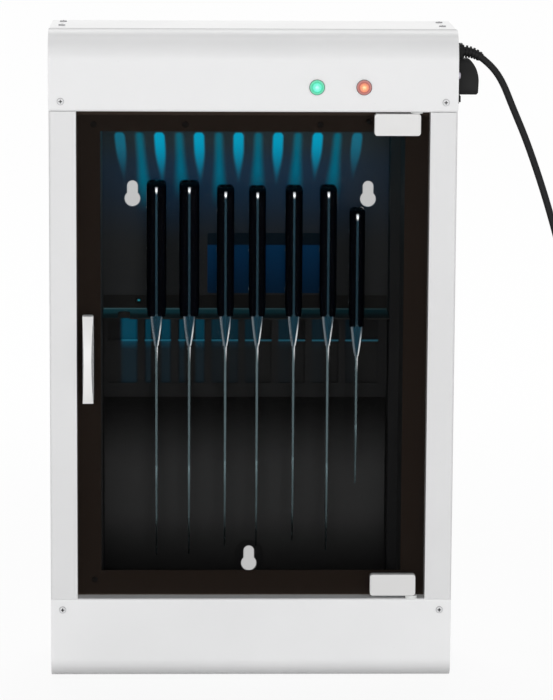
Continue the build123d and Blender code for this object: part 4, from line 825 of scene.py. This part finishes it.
def shadeSeam(name):
    tree, shader, axes = paintOf(name)
    off = calc(tree, "ABSOLUTE", minus(tree, axes["Y"], seamShade["middle"]))
    line = span(tree, off, seamShade["half"] - seamShade["soft"], seamShade["half"], 1, 0, True)
    line = times(tree, line, isAbove(tree, axes["Z"], seamShade["level"]))
    shadeBase(tree, shader, minus(tree, 1.0, times(tree, line, seamShade["depth"])))


def shadeRoll(name, low, high, first, last):
    tree, shader, axes = paintOf(name)
    shadeBase(tree, shader, span(tree, axes["Z"], low, high, first, last, True))


shadeSeam("upper_cover")
shadeSeam("top_plate")
for name, values in rolledEdges.items():
    shadeRoll(name, *values)
print("covers shaded")


# indicator lights

lights = {
    "green_lens": [(0.052, 0.68, 0.38), (0.17, 0.97, 0.71), (0.40, 0.99, 0.88)],
    "red_lens": [(0.46, 0.115, 0.095), (0.96, 0.32, 0.18), (1.0, 0.72, 0.33)],
}
lensGlow = {"edge": 0.0052, "middle": 0.0036, "core": 0.0004, "strength": 0.82, "base": 0.25}
bezelGlow = {
    "inner": 0.0067,
    "outer": 0.0076,
    "share": 0.85,
    "dark": (0.03, 0.03, 0.03),
    "rim": (0.15, 0.15, 0.15),
}


def makeLens(name, colours):
    # colours of the edge, the middle and the core
    material, tree, shader, place = newMaterial(name + "Plastic", {"Roughness": 0.12, "IOR": 1.49})
    low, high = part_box(name)
    radius = distanceFrom(tree, split(tree, place), (low + high) / 2)
    facets = put(tree, "ShaderNodeTexVoronoi", {"Vector": place, "Scale": 900.0}).outputs["Distance"]
    outer = span(tree, radius, lensGlow["middle"], lensGlow["edge"], smooth=True)
    inner = span(tree, radius, lensGlow["core"], lensGlow["middle"], smooth=True)
    colour = blendColours(tree, inner, rgba(colours[2]), rgba(colours[1]))
    colour = blendColours(tree, outer, colour, rgba(colours[0]))
    colour = scaled(tree, colour, span(tree, facets, 0.0, 0.8, 1.06, 0.86))
    feed(tree, shader, "Emission Color", colour)
    feed(tree, shader, "Base Color", scaled(tree, colour, lensGlow["base"]))
    shader.inputs["Emission Strength"].default_value = lensGlow["strength"]
    addBump(tree, shader, facets, 0.0001, 0.5)
    return material


def makeBezel():
    # chrome rings with a painted reflection of their lenses' light, given off as emission
    material, tree, shader, place = fineMetal("bezelChrome", bezelGlow["rim"], 0.16, 0.05)
    axes = split(tree, place)
    glows, distances = [], []
    for name, colours in lights.items():
        low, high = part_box(name)
        away = distanceFrom(tree, axes, (low + high) / 2)
        distances.append(away)
        glows.append((span(tree, away, bezelGlow["inner"], bezelGlow["outer"], 1.0, 0.0, True),
                      tuple(bezelGlow["share"] * value for value in colours[0])))
    nearest = calc(tree, "MINIMUM", *distances)
    rim = span(tree, nearest, bezelGlow["inner"] + 0.0002, bezelGlow["outer"], 0.0, 1.0, True)
    colour = blendColours(tree, rim, rgba(bezelGlow["dark"]), rgba(bezelGlow["rim"]))
    feed(tree, shader, "Base Color", colour)
    addLight(tree, shader, *glows)
    return material


for name, colours in lights.items():
    dress(makeLens(name, colours), name)
dress(makeBezel(), "light_bezels")
print("indicator lights dressed")


# mains lead: the route of its middle line, in mm

inletY = -7.0
coilRoute = {"x": 372.0, "y": 45.0, "radius": 43.8, "step": 7.6, "halves": 4, "low": 3.7, "points": 8}
leadPoints = [
    (227.2, inletY, 618.1),
    (237.6, inletY, 610.3),
    (249.1, inletY, 593.9),
    (258.9, inletY, 569.7),
    (274.9, inletY - 0.4, 533.0),
    (294.8, inletY - 1.4, 475.6),
    (311.2, inletY - 3.2, 418.1),
    (320.9, inletY - 5.8, 360.7),
    (326.0, inletY - 9.2, 303.3),
    (328.4, inletY - 13.2, 245.9),
    (329.2, inletY - 17.4, 188.4),
    (329.0, inletY - 20.9, 131.0),
    (328.7, inletY - 22.0, 83.0),
    (328.4, inletY - 17.0, 47.0),
    (328.2, inletY - 1.0, 18.0),
    (328.2, inletY + 21.0, 3.7),
    (328.2, 38.0, 3.7),
]


def coilPoints(route):
    # inward below, a climb of half a turn, outward above, then the tail to the plug
    points = []
    x, side, height, radius = route["x"] - route["radius"], 1, route["low"], route["radius"]
    halves, count = route["halves"], route["points"]
    swell = 1 / math.cos(math.pi / (2 * count))
    for number in range(2 * halves + 1):
        if number > halves:
            radius += route["step"] / 2
        rise = route["step"] if number == halves else 0
        for index in range(count):
            share = (index + 0.5) / count
            angle = math.pi * share
            points.append((x + side * radius * (1 - swell * math.cos(angle)),
                           route["y"] + side * radius * swell * math.sin(angle), height + rise * share))
        x, side, height = x + side * 2 * radius, -side, height + rise
        if number < halves:
            radius -= route["step"] / 2
    tail = [(0, 38.0, 0), (0, 22.5, 3.4), (0, 7.0, 6.9), (0, -1.0, 6.9), (0, -7.0, 6.9)]
    return points + [(x, y, height + up) for _, y, up in tail]


def makeLead():
    points = leadPoints + coilPoints(coilRoute)
    data = bpy.data.curves.new("mainsLead", "CURVE")
    data.dimensions = "3D"
    line = data.splines.new("NURBS")
    line.points.add(len(points) - 1)
    for point, place in zip(line.points, points):
        point.co = (*(Vector(place) * mm), 1.0)
    line.order_u = 3
    line.use_endpoint_u = True
    line.resolution_u = 6
    data.bevel_depth = 3.5 * mm
    data.bevel_resolution = 5
    data.use_fill_caps = True
    lead = bpy.data.objects.new("mainsLead", data)
    bpy.context.scene.collection.objects.link(lead)
    data.materials.append(mouldedPlastic("leadRubber", (0.0155, 0.0155, 0.016), 0.6, level=0.12)[0])
    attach(lead, "cabinet")
    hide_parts("mains_cord", "cord_coil")


makeLead()
print("lead laid")


# rivets of the handles, made with geometry nodes

handleRivets = {"count": 3, "share": 0.30, "radius": 2.4, "proud": 0.12, "sides": 24}


def rivetTree(material):
    tree = bpy.data.node_groups.new("handleRivets", "GeometryNodeTree")
    for label, kind, value in (
            ("Count", "Int", 3), ("Start", "Vector", (0, 0, 0)), ("Step", "Vector", (0, 0, 0.03)),
            ("Radius", "Float", 0.0024), ("Length", "Float", 0.02)):
        socket = tree.interface.new_socket(label, in_out="INPUT", socket_type="NodeSocket" + kind)
        socket.default_value = value
    tree.interface.new_socket("Geometry", in_out="OUTPUT", socket_type="NodeSocketGeometry")
    start = tree.nodes.new("NodeGroupInput").outputs
    spread = {"Count": start["Count"], "Start Location": start["Start"], "Offset": start["Step"]}
    row = put(tree, "GeometryNodeMeshLine", spread, mode="OFFSET")
    pin = put(tree, "GeometryNodeMeshCylinder",
              {"Vertices": handleRivets["sides"], "Radius": start["Radius"], "Depth": start["Length"]})
    lying = put(tree, "GeometryNodeTransform",
                {"Geometry": pin.outputs["Mesh"], "Rotation": (0, math.pi / 2, 0)})
    placed = put(tree, "GeometryNodeInstanceOnPoints",
                 {"Points": row.outputs["Mesh"], "Instance": lying.outputs["Geometry"]})
    solid = put(tree, "GeometryNodeRealizeInstances", {"Geometry": placed.outputs["Instances"]})
    coloured = put(tree, "GeometryNodeSetMaterial",
                   {"Geometry": solid.outputs["Geometry"], "Material": material})
    end = tree.nodes.new("NodeGroupOutput")
    tree.links.new(coloured.outputs["Geometry"], end.inputs["Geometry"])
    return tree


def meshFromTree(name, tree, values):
    holder = bpy.data.objects.new(name + "Source", bpy.data.meshes.new(name + "Source"))
    bpy.context.scene.collection.objects.link(holder)
    modifier = holder.modifiers.new("build", "NODES")
    modifier.node_group = tree
    for item in tree.interface.items_tree:
        if item.in_out == "INPUT" and item.name in values:
            modifier[item.identifier] = values[item.name]
    graph = bpy.context.evaluated_depsgraph_get()
    mesh = bpy.data.meshes.new_from_object(holder.evaluated_get(graph))
    mesh.name = name
    bpy.data.objects.remove(holder)
    piece = bpy.data.objects.new(name, mesh)
    bpy.context.scene.collection.objects.link(piece)
    return piece


rivets = rivetTree(fineMetal("rivetMetal", (0.55, 0.56, 0.57), 0.25)[0])
for number in knifeNumbers:
    low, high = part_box(f"knife_{number}_handle")
    tall, middle = high.z - low.z, (low + high) / 2
    first = Vector((middle.x, middle.y, middle.z - tall * handleRivets["share"]))
    piece = meshFromTree(f"knife{number}Rivets", rivets, {
        "Count": handleRivets["count"],
        "Start": first,
        "Step": Vector((0, 0, tall * handleRivets["share"])),
        "Radius": handleRivets["radius"] * mm,
        "Length": high.x - low.x + 2 * handleRivets["proud"] * mm,
    })
    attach(piece, f"knife_{number}")
print("rivets set")


# floor, world and lamps

studio = {
    "floor": 0.82,
    "floorNear": 0.91,  # share of plain white that the camera sees, near the object and far off
    "floorFar": 0.985,
    "ambient": 0.42,
    "front": {"place": (0.0, -4.2, 0.75), "aim": (0, 0, 0.33), "size": (2.6, 1.2), "power": 74.0},
    "top": {"place": (0.0, 2.0, 2.9), "aim": (0, 0, 0.4), "size": (2.2, 1.4), "power": 58.0},
    "chamber": {"place": (-0.012, 0.03, 0.5505), "aim": (-0.012, 0.03, 0.0), "size": (0.28, 0.05),
                "power": 0.05, "colour": (0.10, 0.75, 1.0), "gloss": 0.0},
}


def seenRays(tree):
    # one for what the camera sees directly, in a reflection or through glass
    rays = put(tree, "ShaderNodeLightPath").outputs
    bounced = calc(tree, "MAXIMUM", rays["Is Glossy Ray"], rays["Is Transmission Ray"])
    return calc(tree, "MAXIMUM", rays["Is Camera Ray"], bounced)


def makeFloor():
    mesh = bpy.data.meshes.new("floor")
    reach = 12.0
    corners = [(x * reach, y * reach, 0) for x, y in ((-1, -1), (1, -1), (1, 1), (-1, 1))]
    mesh.from_pydata(corners, [], [(0, 1, 2, 3)])
    floor = bpy.data.objects.new("floor", mesh)
    bpy.context.scene.collection.objects.link(floor)
    material = bpy.data.materials.new("floorPaper")
    material.use_nodes = True
    tree = material.node_tree
    tree.nodes.clear()
    matt = put(tree, "ShaderNodeBsdfDiffuse", {"Color": rgba([studio["floor"]] * 3)})
    white = put(tree, "ShaderNodeEmission", {"Color": (1, 1, 1, 1), "Strength": 1.0})
    place = put(tree, "ShaderNodeTexCoord").outputs["Object"]
    away = put(tree, "ShaderNodeVectorMath", {0: place}, operation="LENGTH").outputs["Value"]
    share = times(tree, seenRays(tree), span(
        tree, away, 0.5, 1.8, studio["floorNear"], studio["floorFar"], True))
    mixed = put(tree, "ShaderNodeMixShader", {0: share, 1: matt.outputs[0], 2: white.outputs[0]})
    put(tree, "ShaderNodeOutputMaterial", {"Surface": mixed.outputs[0]})
    mesh.materials.append(material)


def makeWorld():
    world = bpy.data.worlds.new("studio")
    bpy.context.scene.world = world
    world.use_nodes = True
    tree = world.node_tree
    tree.nodes.clear()
    strength = span(tree, seenRays(tree), 0.0, 1.0, studio["ambient"], 1.0)
    sky = put(tree, "ShaderNodeBackground", {"Color": (1, 1, 1, 1), "Strength": strength})
    put(tree, "ShaderNodeOutputWorld", {"Surface": sky.outputs[0]})


def makeLamp(name, settings):
    data = bpy.data.lights.new(name, "AREA")
    data.shape = "RECTANGLE"
    data.size, data.size_y = settings["size"]
    data.energy = settings["power"]
    data.color = settings.get("colour", (1, 1, 1))
    data.specular_factor = settings.get("gloss", 1.0)
    lamp = bpy.data.objects.new(name, data)
    place, aim = Vector(settings["place"]), Vector(settings["aim"])
    lamp.location = place
    lamp.rotation_euler = (aim - place).to_track_quat("-Z", "Y").to_euler()
    bpy.context.scene.collection.objects.link(lamp)


makeFloor()
makeWorld()
for name in ("front", "top", "chamber"):
    makeLamp(name + "Lamp", studio[name])
print("studio lit")
